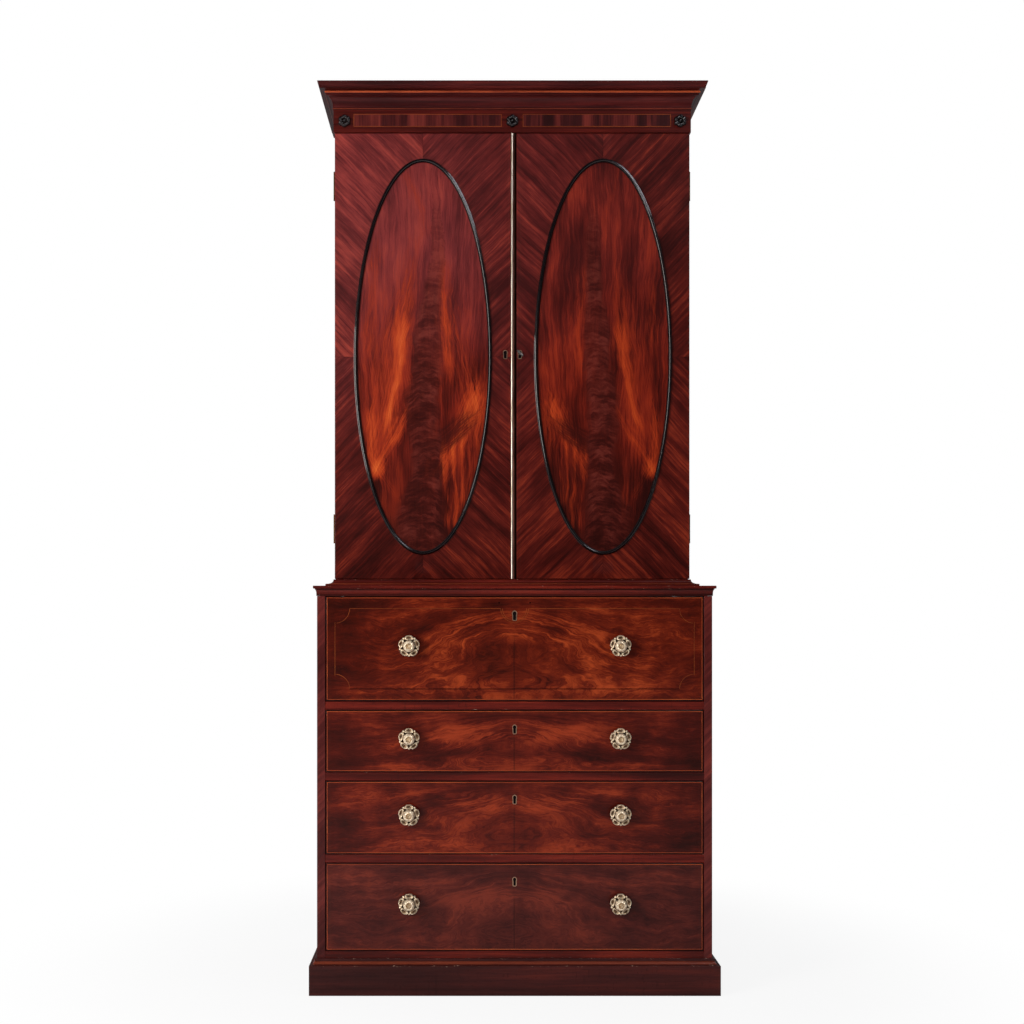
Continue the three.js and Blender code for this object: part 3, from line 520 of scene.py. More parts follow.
@dataclass(frozen=True)
class OvalFlame:
    """Flame figured veneer of an oval panel: a dark feather with bright flames on both sides.

    The figure is drawn in u, towards the meeting edge of the doors, and v, up, from the middle
    of the oval, in metres. Both are bent by slow noise before anything is laid out in them.
    """

    name: str
    x: float
    z: float
    flip: float
    painted_sheen: float
    glow: float

    def build(self) -> bpy.types.Material:
        """Makes the material.

        Returns:
            The material.
        """
        shader = Shader(self.name)
        px, _, pz = shader.place()
        u, v = (px - self.x) * self.flip, pz - self.z
        seed = self.x * 3.0
        sway = shader.noise(u * 7.0, v * 4.0, seed, 3.0, 0.5) - 0.5
        heave = shader.noise(u * 7.0, v * 4.0, seed + 5.0, 3.0, 0.5) - 0.5
        curl = shader.noise(u * 26.0, v * 17.0, seed + 9.0, 3.0, 0.55) - 0.5
        u, v = u + sway * 0.036 + curl * 0.012, v + heave * 0.05 + curl * 0.014
        fan = u / (1.0 + v * 0.35)
        streak = shader.noise(fan * 140.0, v * 5.0, seed, 4.0, 0.64)
        fibre = shader.noise(fan * 620.0, v * 22.0, seed, 2.0, 0.6)
        cloud = shader.noise(fan * 18.0, v * 5.0, seed + 2.0, 2.0, 0.5)
        tone = streak * 0.8 + fibre * 0.6 + cloud * 1.25 - 1.07 + self.glow * 0.5
        base = self.base(shader, v, tone)
        lit = self.flames(shader, u, v, base, streak * 0.9 + fibre * 0.5 - 0.7)
        return polished(shader, self.feather(shader, u, v, lit, streak), fibre, v, fan)

    def base(self, shader: Shader, v: Sock, tone: Sock) -> Sock:
        """Pink-brown above, as painted sheen, red-brown in the middle and dark below.

        Args:
            shader: the unfinished material.
            v: the height from the middle.
            tone: the streaks of the ground.

        Returns:
            The colour of the ground.
        """
        # The pink-brown copy is painted sheen, laid over the head of the oval.
        high = shader.ramp(tone, FLAME_PAINTED_SHEEN.stops())
        low = shader.ramp(tone, FLAME_LOW.stops())
        foot = shader.ramp(tone, FLAME_FOOT.stops())
        painted_sheen = shader.curve(v, [(-0.06, 0.0), (0.1, 0.6), (0.3, 1.0)]) * self.painted_sheen
        colour = shader.mix(painted_sheen, low, high)
        return shader.mix(shader.curve(v, [(-0.46, 1.0), (-0.33, 0.85), (-0.2, 0.0)]), colour, foot)

    def flames(self, shader: Shader, u: Sock, v: Sock, colour: Sock, fibres: Sock) -> Sock:
        """Lays the bright flames and the dark pool over the ground.

        Each stroke adds its share of heat; the fibres of the ground vary the sum, and a ramp
        turns it from red through orange to gold.

        Args:
            shader: the unfinished material.
            u, v: the bent place.
            colour: the ground.
            fibres: its fibres, about 0.

        Returns:
            The colour with its flames.
        """
        strokes = [
            ((-0.085, 0.09), (-0.125, -0.14), 0.100, 0.26),
            ((-0.060, 0.05), (-0.112, -0.16), 0.066, 0.30),
            ((-0.042, 0.05), (-0.092, -0.17), 0.024, 0.46),
            ((-0.050, -0.02), (-0.085, -0.15), 0.011, 0.34),
            ((-0.046, -0.150), (-0.114, -0.28), 0.022, 0.58),
            ((-0.135, -0.17), (-0.124, -0.290), 0.020, 0.36),
            ((-0.122, -0.28), (-0.080, -0.35), 0.026, 0.34),
            ((0.115, -0.145), (0.065, -0.25), 0.040, 0.52),
            ((0.145, -0.14), (0.105, -0.38), 0.048, 0.30),
            ((0.050, -0.24), (0.060, -0.42), 0.014, 0.42),
            ((0.072, -0.22), (0.082, -0.43), 0.012, 0.46),
            ((0.095, -0.21), (0.096, -0.36), 0.012, 0.34),
            ((0.085, 0.06), (0.125, -0.12), 0.070, 0.36),
            ((0.055, 0.22), (0.062, -0.02), 0.022, 0.42),
            ((-0.025, 0.28), (-0.050, 0.06), 0.032, 0.30),
            ((-0.122, 0.27), (-0.138, 0.05), 0.026, 0.34),
            ((-0.035, 0.46), (0.005, 0.33), 0.026, 0.30),
        ]
        heat = fibres * 0.4
        for start, end, width, share in strokes:
            heat = heat + shader.stroke(u, v, start, end, width) * (share * self.glow)
        fire = shader.ramp(heat, [(0.1, FLAME_RED), (0.35, FLAME_ORANGE), (0.62, FLAME_AMBER),
                                  (0.95, FLAME_GOLD)])
        colour = shader.mix(heat.step(0.04, 0.5), colour, fire)
        pool = shader.stroke(u, v, (0.04, -0.225), (0.085, -0.19), 0.036)
        return shader.mix(pool.step(0.0, 0.9) * 0.75, colour, FLAME_DARK)

    def feather(self, shader: Shader, u: Sock, v: Sock, colour: Sock, streak: Sock) -> Sock:
        """Lays the dark feather over the rest, with fine ripples that arch across it.

        Args:
            shader: the unfinished material.
            u, v: the bent place.
            colour: the ground and flames.
            streak: the streaks of the ground.

        Returns:
            The whole colour.
        """
        middle = shader.curve(v, [(-0.5, -0.012), (-0.42, -0.014), (-0.29, 0.008), (-0.14, -0.004),
                                  (0.0, 0.014), (0.27, 0.032), (0.5, 0.028)])
        half = shader.curve(v, [(-0.5, 0.075), (-0.42, 0.066), (-0.29, 0.040), (-0.14, 0.043),
                                (0.0, 0.036), (0.27, 0.020), (0.42, 0.008)])
        side = u - middle
        stir = shader.noise(u * 28.0, v * 22.0, self.x, 3.0, 0.6) - 0.5
        arch = v + side * side * 7.0 + stir * 0.03
        ripple = shader.noise(side * 34.0, arch * 130.0, self.x, 4.0, 0.65)
        swell = shader.noise(side * 16.0, arch * 30.0, self.x + 3.0, 4.0, 0.6)
        inside = (abs(side) / half + (swell - 0.5) * 0.7 + (streak - 0.5) * 0.4).step(1.2, 0.72)
        strength = shader.curve(v, [(-0.5, 0.75), (-0.33, 0.8), (-0.1, 0.82), (0.15, 0.7),
                                    (0.33, 0.4), (0.45, 0.0)])
        dusk = shader.ramp(swell * 1.1 + ripple * 1.2 + v * 0.2 - 0.56, FEATHER.stops())
        colour = shader.mix(inside * strength, colour, dusk)
        edge = inside * (1.0 - inside) * 4.0
        return shader.mix(edge * ripple.step(0.5, 0.62) * 0.35, colour, FLAME_DARK)


@dataclass(frozen=True)
class Crotch:
    """Figured veneer of a drawer front, book-matched about the middle of the case.

    The grain lies level at the ends and rises into an arch at the joint: its level is the height
    less a bell of the distance from the joint, exp(-(x / spread)^2), which is strongest a little
    above the middle of the front. Slow noise bends it, a part of which isn't mirrored. Thin
    arcs cross the joint about the share arch of the height, as strong as glow. Each of the
    glows is an oval (side, height, half width, half height, amount) that adds to the tone, and
    lean makes the right end lighter than the left, or darker where it is below 0.
    """

    name: str
    low: Flat
    high: Flat
    tones: Tones
    seed: float
    arch: float
    glow: float
    glows: tuple[tuple[float, ...], ...]
    lean: float = 0.0

    def build(self) -> bpy.types.Material:
        """Makes the material.

        Returns:
            The material.
        """
        shader = Shader(self.name)
        x, _, z = shader.place()
        side, tall = abs(x + 0.001), self.high[1] - self.low[1]
        height = (z - self.low[1]) / tall
        slow = shader.noise(side * 7.0, height * 3.0, self.seed, 3.0, 0.5) - 0.5
        drift = shader.noise(x * 8.0, z * 14.0, self.seed + 4.0, 4.0, 0.6) - 0.5
        bell = shader.math("EXPONENT", (side + slow * 0.05) ** 2.0 * -32.0)
        lift = shader.curve(height, [(0.0, 0.0), (0.25, 0.32), (0.62, 0.5), (0.8, 0.4), (1.0, 0.05)])
        level = height - bell * lift + slow * 0.26 + drift * 0.22
        broad = shader.noise(level * 3.4, side * 3.0, self.seed, 3.0, 0.5)
        line = shader.noise(level * 17.0, side * 6.0, self.seed + 1.0, 4.0, 0.65)
        hair = shader.noise(level * 75.0, side * 22.0, self.seed + 3.0, 3.0, 0.6)
        fibre = shader.noise(level * 260.0, side * 60.0, self.seed, 2.0, 0.6)
        cloud = shader.noise(x * 9.0, z * 15.0, self.seed + 7.0, 5.0, 0.65)
        tone = broad * 0.6 + line * 0.5 + hair * 0.45 + fibre * 0.3 + cloud * 0.85 - 0.84
        tone = tone + x * self.lean
        crown = bell.step(0.18, 0.7) * (height + drift * 0.2).band(self.arch, 0.07, 0.16)
        arcs = shader.noise(level * 30.0, side * 3.0, self.seed + 2.0, 3.0, 0.6)
        tone = tone + crown * (arcs - 0.40) * self.glow
        for place, level_place, wide, high, amount in self.glows:
            du = (side + drift * 0.14 - place) / wide
            dv = (height + slow * 0.5 + drift * 0.3 - level_place) / high
            tone = tone + (du * du + dv * dv).step(1.0, 0.0) * (line + hair) * amount
        colour = shader.ramp(tone, self.tones.stops())
        heart = bell.step(0.3, 0.9) * (height + drift * 0.4).step(self.arch - 0.05, self.arch - 0.3)
        colour = shader.mix(heart * hair.step(0.3, 0.7) * 0.5, colour, self.tones.light)
        speck = shader.noise(x * 240.0, z * 300.0, self.seed, 1.0, 0.5).step(0.74, 0.8)
        colour = shader.mix(speck * 0.6, colour, PORE_AND_PAINTED_SHADE)
        seam = (x + drift * 0.003).band(-0.001, 0.0004, 0.002) * height.step(self.arch, self.arch - 0.2)
        colour = shader.mix(seam * 0.5, colour, PORE_AND_PAINTED_SHADE)
        return polished(shader, self.painted_edge_shade(shader, colour), fibre, side, level * tall)

    def painted_edge_shade(self, shader: Shader, colour: Sock) -> Sock:
        """Darkens the arris outside the string as painted shade, all round the front.

        Args:
            shader: the unfinished material.
            colour: the colour of the veneer.

        Returns:
            The colour with a dark edge.
        """
        x, _, z = shader.place()
        wide, tall = ((high - low) / 2 for low, high in zip(self.low, self.high))
        middle = (self.high[1] + self.low[1]) / 2
        # Painted shade: a dark band along every edge of the front.
        beside, beyond = (away.step(half - EDGE_INSET - 0.0006, half - EDGE_INSET + 0.0006)
                          for away, half in ((abs(x), wide), (abs(z - middle), tall)))
        return shader.mix(shader.math("MAXIMUM", beside, beyond) * 0.85, colour, PORE_AND_PAINTED_SHADE)


@dataclass(frozen=True)
class FriezeVeneer:
    """Crossbanding of the frieze: upright bars of dark and red inside its strings."""

    name: str
    inner: float
    outer: float
    low: float
    high: float

    def build(self) -> bpy.types.Material:
        """Makes the material: bars by noise along X inside the panels, brighter towards the left as painted
        light, plain long grain outside.

        Returns:
            The material.
        """
        shader = Shader(self.name)
        x, _, z = shader.place()
        bars = shader.noise(x * 42.0, z * 3.0, 1.7, 2.0, 0.5)
        fine = shader.noise(x * 210.0, z * 5.0, 4.1, 3.0, 0.6)
        fibre = shader.noise(x * 900.0, z * 18.0, 6.3, 2.0, 0.6)
        # Painted light: the bars lighter on the left, near the lamp, and darker on the right.
        lit = shader.curve(x, [(-0.42, 0.13), (-0.08, 0.07), (0.1, -0.06), (0.42, -0.03)])
        upright = shader.ramp(bars * 1.25 + fine * 0.55 + fibre * 0.2 - 0.5 + lit, FRIEZE_BARS.stops())
        flat = shader.noise(x * 3.0, z * 160.0, 2.2, 4.0, 0.6)
        plain = shader.ramp(flat * 0.8 + 0.02, MAHOGANY.stops())
        soft = 0.0004
        inside = abs(x).step(self.inner - soft, self.inner) * abs(x).step(self.outer + soft, self.outer)
        inside = inside * z.band((self.low + self.high) / 2, (self.high - self.low) / 2, soft)
        return polished(shader, shader.mix(inside, plain, upright), fibre, z, x)


@dataclass(frozen=True)
class Metal:
    """Brass or steel with a tone that darkens in its hollows, partly as tarnish and partly as painted shade;
    lacquer makes it less metallic.

    The tint colours the light that it reflects at a glance.
    """

    name: str
    bright: Colour
    dull: Colour
    roughness: float = 0.3
    hollows: bool = False
    metallic: float = 1.0
    tint: Colour = (1.0, 1.0, 1.0)

    def build(self) -> bpy.types.Material:
        """Makes the material: dull patches by noise and dark hollows, partly tarnish and partly painted
        shade, rougher where they are duller.

        A lacquered metal with hollows is bare and wholly metallic in them.

        Returns:
            The material.
        """
        shader = Shader(self.name)
        x, y, z = shader.place()
        patch = shader.noise(x * 160.0, y * 160.0, z * 160.0, 4.0, 0.6).step(0.38, 0.75) * 0.5
        # The hollows darken partly as tarnish and partly as painted shade in the recesses.
        if self.hollows:
            hollow = shader.node("ShaderNodeAttribute", {"attribute_name": HOLLOW}, output="Fac")
            patch = shader.math("MAXIMUM", patch, 1.0 - (1.0 - hollow) ** 1.5)
        grit = shader.noise(x * 1500.0, y * 1500.0, z * 1500.0, 2.0, 0.5)
        colour = shader.mix(patch, self.bright, self.dull)
        metallic = patch * (1.0 - self.metallic) + self.metallic if self.hollows else self.metallic
        roughness = patch * 0.2 + self.roughness
        return shader.surface(Base_Color=colour, Metallic=metallic, Roughness=roughness,
                              Specular_Tint=self.tint, Normal=shader.bump(grit, 0.1, 0.0002))


@dataclass(frozen=True)
class StripMetal:
    """The brass strip of the doors: a pale bead, as painted highlight, beside a fillet browned as painted
    shade.
    """

    name: str
    turn: float

    def build(self) -> bpy.types.Material:
        """Makes the material: pale left of the turn as painted highlight, brown right of it as painted shade.

        Returns:
            The material.
        """
        shader = Shader(self.name)
        x, y, z = shader.place()
        patch = shader.noise(x * 90.0, y * 90.0, z * 14.0, 4.0, 0.6)
        # Painted light: the bead pale as if lit from the left, the fillet brown as if in shade.
        pale = shader.mix(patch.step(0.4, 0.7), shade(226, 214, 198), shade(176, 152, 122))
        fillet_painted_shade = shader.mix(patch.step(0.35, 0.7), shade(92, 58, 48), shade(48, 24, 20))
        right = x.step(self.turn - 0.0004, self.turn + 0.0004)
        return shader.surface(Base_Color=shader.mix(right, pale, fillet_painted_shade), Metallic=1.0,
                              Roughness=patch * 0.16 + 0.26)


@dataclass(frozen=True)
class Leather:
    """Worn writing leather with a tooled line round it."""

    name: str
    half: float
    front: float
    back: float

    def build(self) -> bpy.types.Material:
        """Makes the material: rubbed green, pebbled grain and one gilt line near the edge.

        Returns:
            The material.
        """
        shader = Shader(self.name)
        x, y, z = shader.place()
        worn = shader.noise(x * 9.0, y * 9.0, z, 4.0, 0.6)
        pebble = shader.noise(x * 900.0, y * 900.0, z * 900.0, 3.0, 0.6)
        colour = shader.mix(worn.step(0.4, 0.7), shade(62, 74, 48), shade(92, 96, 62))
        edge = shader.math("MINIMUM", self.half - abs(x),
                           shader.math("MINIMUM", y - self.front, self.back - y))
        line = edge.band(0.014, 0.0006, 0.0004)
        colour = shader.mix(line * worn.step(0.3, 0.5), colour, shade(190, 150, 80))
        return shader.surface(Base_Color=colour, Roughness=worn * 0.3 + 0.4,
                              Normal=shader.bump(pebble, 0.25, 0.0003))


# Palette

HOLLOW = "hollow"
EDGE_INSET = 0.0034
# Dark of pores and joints, also used for painted shade on edges and in hollows.
PORE_AND_PAINTED_SHADE = shade(26, 8, 7)
WORN_WOOD = shade(196, 160, 140)
# Warm colour of the painted highlights on beads.
PAINTED_SHEEN_WOOD = shade(176, 78, 44)
MAHOGANY = Tones(shade(42, 10, 8), shade(74, 18, 13), shade(102, 28, 19), shade(138, 46, 28))
MAHOGANY_CORNICE = Tones(shade(34, 9, 9), shade(56, 15, 15), shade(78, 23, 21), shade(110, 38, 33))
MAHOGANY_PLINTH = Tones(shade(42, 15, 14), shade(56, 22, 20), shade(68, 26, 23), shade(90, 33, 26))
MAHOGANY_STILE = Tones(shade(56, 16, 15), shade(76, 26, 24), shade(98, 37, 33), shade(128, 50, 42))
MAHOGANY_INSIDE = Tones(shade(78, 32, 22), shade(112, 50, 32), shade(138, 68, 42), shade(160, 88, 54))
QUARTER_LOW = Tones(shade(44, 9, 6), shade(70, 17, 12), shade(92, 26, 18), shade(132, 45, 27))
# Painted sheen copy of the door veneer's tones.
QUARTER_PAINTED_SHEEN = Tones(shade(72, 26, 27), shade(102, 36, 36), shade(124, 46, 44), shade(152, 60, 52))
# Painted sheen copy of the flame panel's tones.
FLAME_PAINTED_SHEEN = Tones(shade(80, 28, 29), shade(108, 38, 38), shade(126, 46, 44), shade(146, 56, 47))
FLAME_LOW = Tones(shade(54, 11, 7), shade(88, 21, 12), shade(114, 30, 17), shade(144, 44, 22))
FLAME_FOOT = Tones(shade(38, 8, 6), shade(56, 13, 8), shade(76, 18, 11), shade(104, 28, 15))
FEATHER = Tones(shade(36, 8, 6), shade(58, 16, 12), shade(82, 27, 21), shade(108, 42, 34))
FLAME_RED = shade(132, 36, 19)
FLAME_ORANGE = shade(154, 48, 21)
FLAME_AMBER = shade(182, 67, 28)
FLAME_GOLD = shade(212, 98, 42)
FLAME_DARK = shade(50, 13, 9)
FALL_TONES = Tones(shade(42, 8, 3), shade(74, 17, 6), shade(106, 31, 12), shade(160, 62, 27))
DRAWER_TONES = Tones(shade(42, 8, 4), shade(72, 17, 9), shade(101, 29, 15), shade(148, 54, 27))
BOTTOM_TONES = Tones(shade(44, 14, 12), shade(66, 23, 19), shade(86, 31, 24), shade(118, 46, 32))
FRIEZE_BARS = Tones(shade(40, 13, 13), shade(58, 19, 19), shade(84, 29, 26), shade(112, 42, 35))
EBONY = Tones(shade(8, 4, 5), shade(13, 7, 8), shade(20, 11, 12), shade(32, 18, 18))
OAK = Tones(shade(104, 70, 40), shade(138, 98, 58), shade(162, 120, 74), shade(184, 144, 96))
BOXWOOD = Tones(shade(128, 50, 24), shade(156, 64, 32), shade(180, 82, 40), shade(206, 106, 56))
FAINT_BOXWOOD = Tones(shade(96, 40, 18), shade(120, 54, 24), shade(138, 66, 30), shade(156, 80, 38))
VOID = Tones(shade(8, 4, 4), shade(10, 5, 5), shade(14, 7, 6), shade(18, 9, 8))


class Palette:
    """Every finish of the bookcase that more than one piece uses."""

    def __init__(self) -> None:
        """Builds the materials."""
        self.board_x = Wood("mahogany_long_grain", MAHOGANY).build()
        self.rail = Wood("mahogany_rail", MAHOGANY, seed=2.0, worn=(0.696, 0.5425, 0.3415)).build()
        self.board_z = Wood("mahogany_upright_grain", MAHOGANY, Grain.ALONG_Z, seed=3.0).build()
        self.stile = Wood("mahogany_slanted_crossbanding", MAHOGANY_STILE, Grain.SLANTED,
                          seed=5.0).build()
        waxed = Polish(0.5, 0.2, 0.0, 0.3, 0.2)
        self.inside = Wood("mahogany_inside", MAHOGANY_INSIDE, Grain.ALONG_Z, waxed, seed=6.0).build()
        self.inside_x = Wood("mahogany_inside_long", MAHOGANY_INSIDE, polish=waxed, seed=7.0).build()
        self.ebonised = Wood("ebonised_wood", EBONY, Grain.ALONG_Z,
                             Polish(0.22, 0.15, 0.6, 0.05, 0.03)).build()
        rough = Polish(0.64, 0.2, 0.0, 0.3, 0.3)
        self.oak = Wood("old_oak_lining", OAK, Grain.ALONG_Y, rough, 60.0).build()
        self.oak_z = Wood("old_oak_backs", OAK, Grain.ALONG_Z, rough, 60.0).build()
        string = Polish(0.3, 0.1, 0.1, 0.15, 0.02)
        self.boxwood = Wood("boxwood_stringing", BOXWOOD, polish=string).build()
        self.faint_boxwood = Wood("toned_boxwood_lines", FAINT_BOXWOOD, polish=string).build()
        self.brass = Metal("cast_brass", shade(255, 236, 204), shade(88, 34, 10), 0.24, True, 0.3,
                           shade(236, 196, 150)).build()
        self.lining_brass = Metal("keyhole_brass", shade(196, 160, 132), shade(110, 76, 56), 0.34).build()
        self.hinge_brass = Metal("aged_hinge_brass", shade(96, 64, 40), shade(48, 26, 18), 0.5).build()
        self.steel = Metal("worn_key_steel", shade(186, 184, 182), shade(72, 66, 62), 0.28).build()
        self.dark = Wood("keyhole_shadow", VOID, Grain.ALONG_Z, Polish(0.8, 0.05, 0.0, 0.5, 0.05)).build()


# Shapes

def linked(name: str, data: bpy.types.ID) -> bpy.types.Object:
    """A new object of that data, linked to the scene."""
    made = bpy.data.objects.new(name, data)
    bpy.context.scene.collection.objects.link(made)
    return made


def finish_mesh(name: str, verts: np.ndarray, faces: list[list[int]], smooth: float,
                hollow: np.ndarray | None = None) -> bpy.types.Object:
    """Makes an object of a closed skin, facing outwards, with edges sharper than smooth kept sharp.

    The signed volume is the sum over faces of fans of tetrahedra to the origin; where it comes
    out negative, each face is turned round. A face whose breadth, twice its area over its
    outline, is more than BROAD is shaded flat, so that rounded arrises don't bend its light.

    Args:
        name: the piece's name.
        verts: its points.
        faces: its faces as lists of points.
        smooth: the angle in degrees up to which an edge is smooth.
        hollow: how deep in a hollow each point lies, 0 to 1, kept as an attribute.

    Returns:
        The object.
    """
    volume = 0.0
    sizes = np.array([len(face) for face in faces])
    broad = np.zeros(len(faces), bool)
    for size in np.unique(sizes):
        which = np.flatnonzero(sizes == size)
        corner = verts[np.array([faces[i] for i in which])]
        fans = np.cross(corner[:, 1:-1] - corner[:, :1], corner[:, 2:] - corner[:, :1])
        volume += np.einsum("ij,ikj->", corner[:, 0], fans)
        area = np.linalg.norm(fans.sum(axis=1), axis=1) / 2
        edges = np.linalg.norm(np.roll(corner, -1, axis=1) - corner, axis=2).sum(axis=1)
        broad[which] = 2 * area / edges > BROAD
    ordered = faces if volume > 0 else [face[::-1] for face in faces]
    mesh = bpy.data.meshes.new(name)
    mesh.from_pydata(verts.tolist(), [], ordered)
    mesh.shade_smooth()
    mesh.set_sharp_from_angle(angle=math.radians(smooth))
    mesh.polygons.foreach_set("use_smooth", ~broad)
    if hollow is not None:
        mesh.attributes.new(HOLLOW, "FLOAT", "POINT").data.foreach_set("value", hollow)
    return linked(name, mesh)


def skin_faces(count: int, around: int, meets: bool) -> list[list[int]]:
    """Faces of a skin through rings: four-sided between rings, and a flat cap on each end ring.

    Args:
        count: how many rings.
        around: how many points each has.
        meets: whether the last ring meets the first.

    Returns:
        The faces as lists of points.
    """
    bands = count if meets else count - 1
    i, j = np.meshgrid(np.arange(bands), np.arange(around), indexing="ij")
    i_next, j_next = (i + 1) % count, (j + 1) % around
    quads = np.stack([i * around + j, i * around + j_next, i_next * around + j_next,
                      i_next * around + j], axis=-1)
    faces = quads.reshape(-1, 4).tolist()
    if not meets:
        faces.append(list(range(around))[::-1])
        faces.append(list(range((count - 1) * around, count * around)))
    return faces


def skin(name: str, rings: np.ndarray, meets: bool = False, smooth: float = 35.0) -> bpy.types.Object:
    """A closed skin through an array of rings (ring, point, 3), capped unless its ends meet."""
    count, around = rings.shape[:2]
    return finish_mesh(name, rings.reshape(-1, 3), skin_faces(count, around, meets), smooth)


def skins(name: str, parts: list[np.ndarray], smooth: float = 35.0,
          hollow: np.ndarray | None = None) -> bpy.types.Object:
    """Several capped skins as one piece.

    Args:
        name: the piece's name.
        parts: the rings of each skin.
        smooth, hollow: as finish_mesh takes them.

    Returns:
        The object.
    """
    verts, faces, start = [], [], 0
    for rings in parts:
        count, around = rings.shape[:2]
        verts.append(rings.reshape(-1, 3))
        faces += [[v + start for v in face] for face in skin_faces(count, around, False)]
        start += count * around
    return finish_mesh(name, np.concatenate(verts), faces, smooth, hollow)


def stood(flat: np.ndarray, y: float | np.ndarray) -> np.ndarray:
    """Points (x, z) of any array stood up at a depth, or at depths that fit the array: (x, y, z)."""
    return np.stack([flat[..., 0], np.broadcast_to(y, flat.shape[:-1]), flat[..., 1]], axis=-1)


def eased_rings(low: np.ndarray, high: np.ndarray, ease: float, steps: int = 3) -> np.ndarray:
    """Rings of a board with rounded arrises, stacked along Z.

    Each ring is a rectangle with quarter-round corners. Near an end it draws in by
    ease * (1 - sin t) at a height ease * (1 - cos t) from that end, for t from 0 to 90 degrees.

    Args:
        low, high: two opposite corners.
        ease: the radius of the arrises.
        steps: how many faces round an arris.

    Returns:
        The rings (ring, point, 3).
    """
    turn = np.linspace(0, math.pi / 2, steps + 1)
    inset = ease * (1 - np.sin(turn))
    rise = ease * (1 - np.cos(turn))
    insets = np.concatenate([inset, inset[::-1]])
    heights = np.concatenate([low[2] + rise, high[2] - rise[::-1]])
    corner = np.concatenate([turn + k * math.pi / 2 for k in range(4)])
    side = np.repeat(np.array([[1, 1], [-1, 1], [-1, -1], [1, -1]]), steps + 1, axis=0)
    middle, half = (low + high) / 2, (high - low) / 2
    radius = np.maximum(ease - insets, ease * 0.15)[:, None]
    spread = np.stack([np.cos(corner), np.sin(corner)], axis=-1)
    flat = (half[:2] - insets[:, None, None] - radius[:, :, None]) * side + radius[:, :, None] * spread
    rings = np.empty((len(heights), len(corner), 3))
    rings[..., :2] = flat + middle[:2]
    rings[..., 2] = heights[:, None]
    return rings


def eased_boards(name: str, corners: list[tuple], ease: float = 0.0008) -> bpy.types.Object:
    """Boards between pairs of (low, high) corners as one piece, with their arrises rounded."""
    return skins(name, [eased_rings(np.array(low, float), np.array(high, float), ease)
                        for low, high in corners])


def node_board(node: str, ease: float = 0.0008) -> bpy.types.Object:
    """A board with rounded arrises in the place of a plain CAD board, which it replaces.

    Args:
        node: the CAD node.
        ease: the radius of its arrises.

    Returns:
        The object.
    """
    made = eased_boards(node + "_dressed", [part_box(node)], ease)
    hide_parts(node)
    return made


def mitred(name: str, section: np.ndarray, half: float, front: float, back: float) -> bpy.types.Object:
    """A moulding round the right side, front and left side of a case.

    The section's points (out, height) are carried to the four corners of the path: sideways to
    half + out and forwards to front - out, so that the corners are mitred.

    Args:
        name: the piece's name.
        section: its points.
        half: half the breadth of the case.
        front: where the case's front stands.
        back: where the moulding ends.

    Returns:
        The object.
    """
    out, height = section[:, 0], section[:, 1]
    rings = []
    for side, depth in ((1, None), (1, out), (-1, out), (-1, None)):
        y = np.full_like(out, back) if depth is None else front - depth
        rings.append(np.stack([side * (half + out), y, height], axis=-1))
    return skin(name, np.array(rings), smooth=28.0)


def curve(start: Flat, end: Flat, steps: int, hollow: bool) -> np.ndarray:
    """Points on a quarter ellipse between two corners of a section; a cove is hollow.

    Args:
        start, end: its ends (out, height).
        steps: how many runs.
        hollow: whether it is a cove.

    Returns:
        The points.
    """
    t = np.linspace(0, math.pi / 2, steps + 1)
    rise, run = (1 - np.cos(t), np.sin(t)) if hollow else (np.sin(t), 1 - np.cos(t))
    return np.stack([start[0] + (end[0] - start[0]) * rise, start[1] + (end[1] - start[1]) * run], -1)


def half_round(foot: Flat, head: Flat, proud: float, steps: int) -> np.ndarray:
    """Points on a bead that stands proud between two heights of a section.

    Args:
        foot, head: its ends (out, height).
        proud: how far it stands out.
        steps: how many runs.

    Returns:
        The points.
    """
    t = np.linspace(0, math.pi, steps + 1)
    out = foot[0] + (head[0] - foot[0]) * t / math.pi + proud * np.sin(t)
    height = (foot[1] + head[1]) / 2 - (head[1] - foot[1]) / 2 * np.cos(t)
    return np.stack([out, height], axis=-1)


def angles(steps: int) -> np.ndarray:
    """Even angles once round, in radians, without the last, which is the first again."""
    return np.linspace(0, 2 * math.pi, steps, endpoint=False)


def section_of(*pieces: object) -> np.ndarray:
    """Joins points and runs of points into one section, in metres from millimetres."""
    return np.concatenate([np.atleast_2d(np.array(piece, float)) for piece in pieces]) * MM


def ellipse(half_width: np.ndarray, half_height: np.ndarray, steps: int) -> np.ndarray:
    """Points on ellipses about the origin, one row for each pair of half sizes."""
    t = angles(steps)
    return np.stack([np.multiply.outer(half_width, np.cos(t)), np.multiply.outer(half_height, np.sin(t))], -1)


def arc(x: float, z: float, radius: float, start: float, end: float, steps: int = 14) -> np.ndarray:
    """Points (x, z) on a circle from one angle to another, in degrees."""
    t = np.radians(np.linspace(start, end, steps + 1))
    return np.stack([x + radius * np.cos(t), z + radius * np.sin(t)], axis=-1)


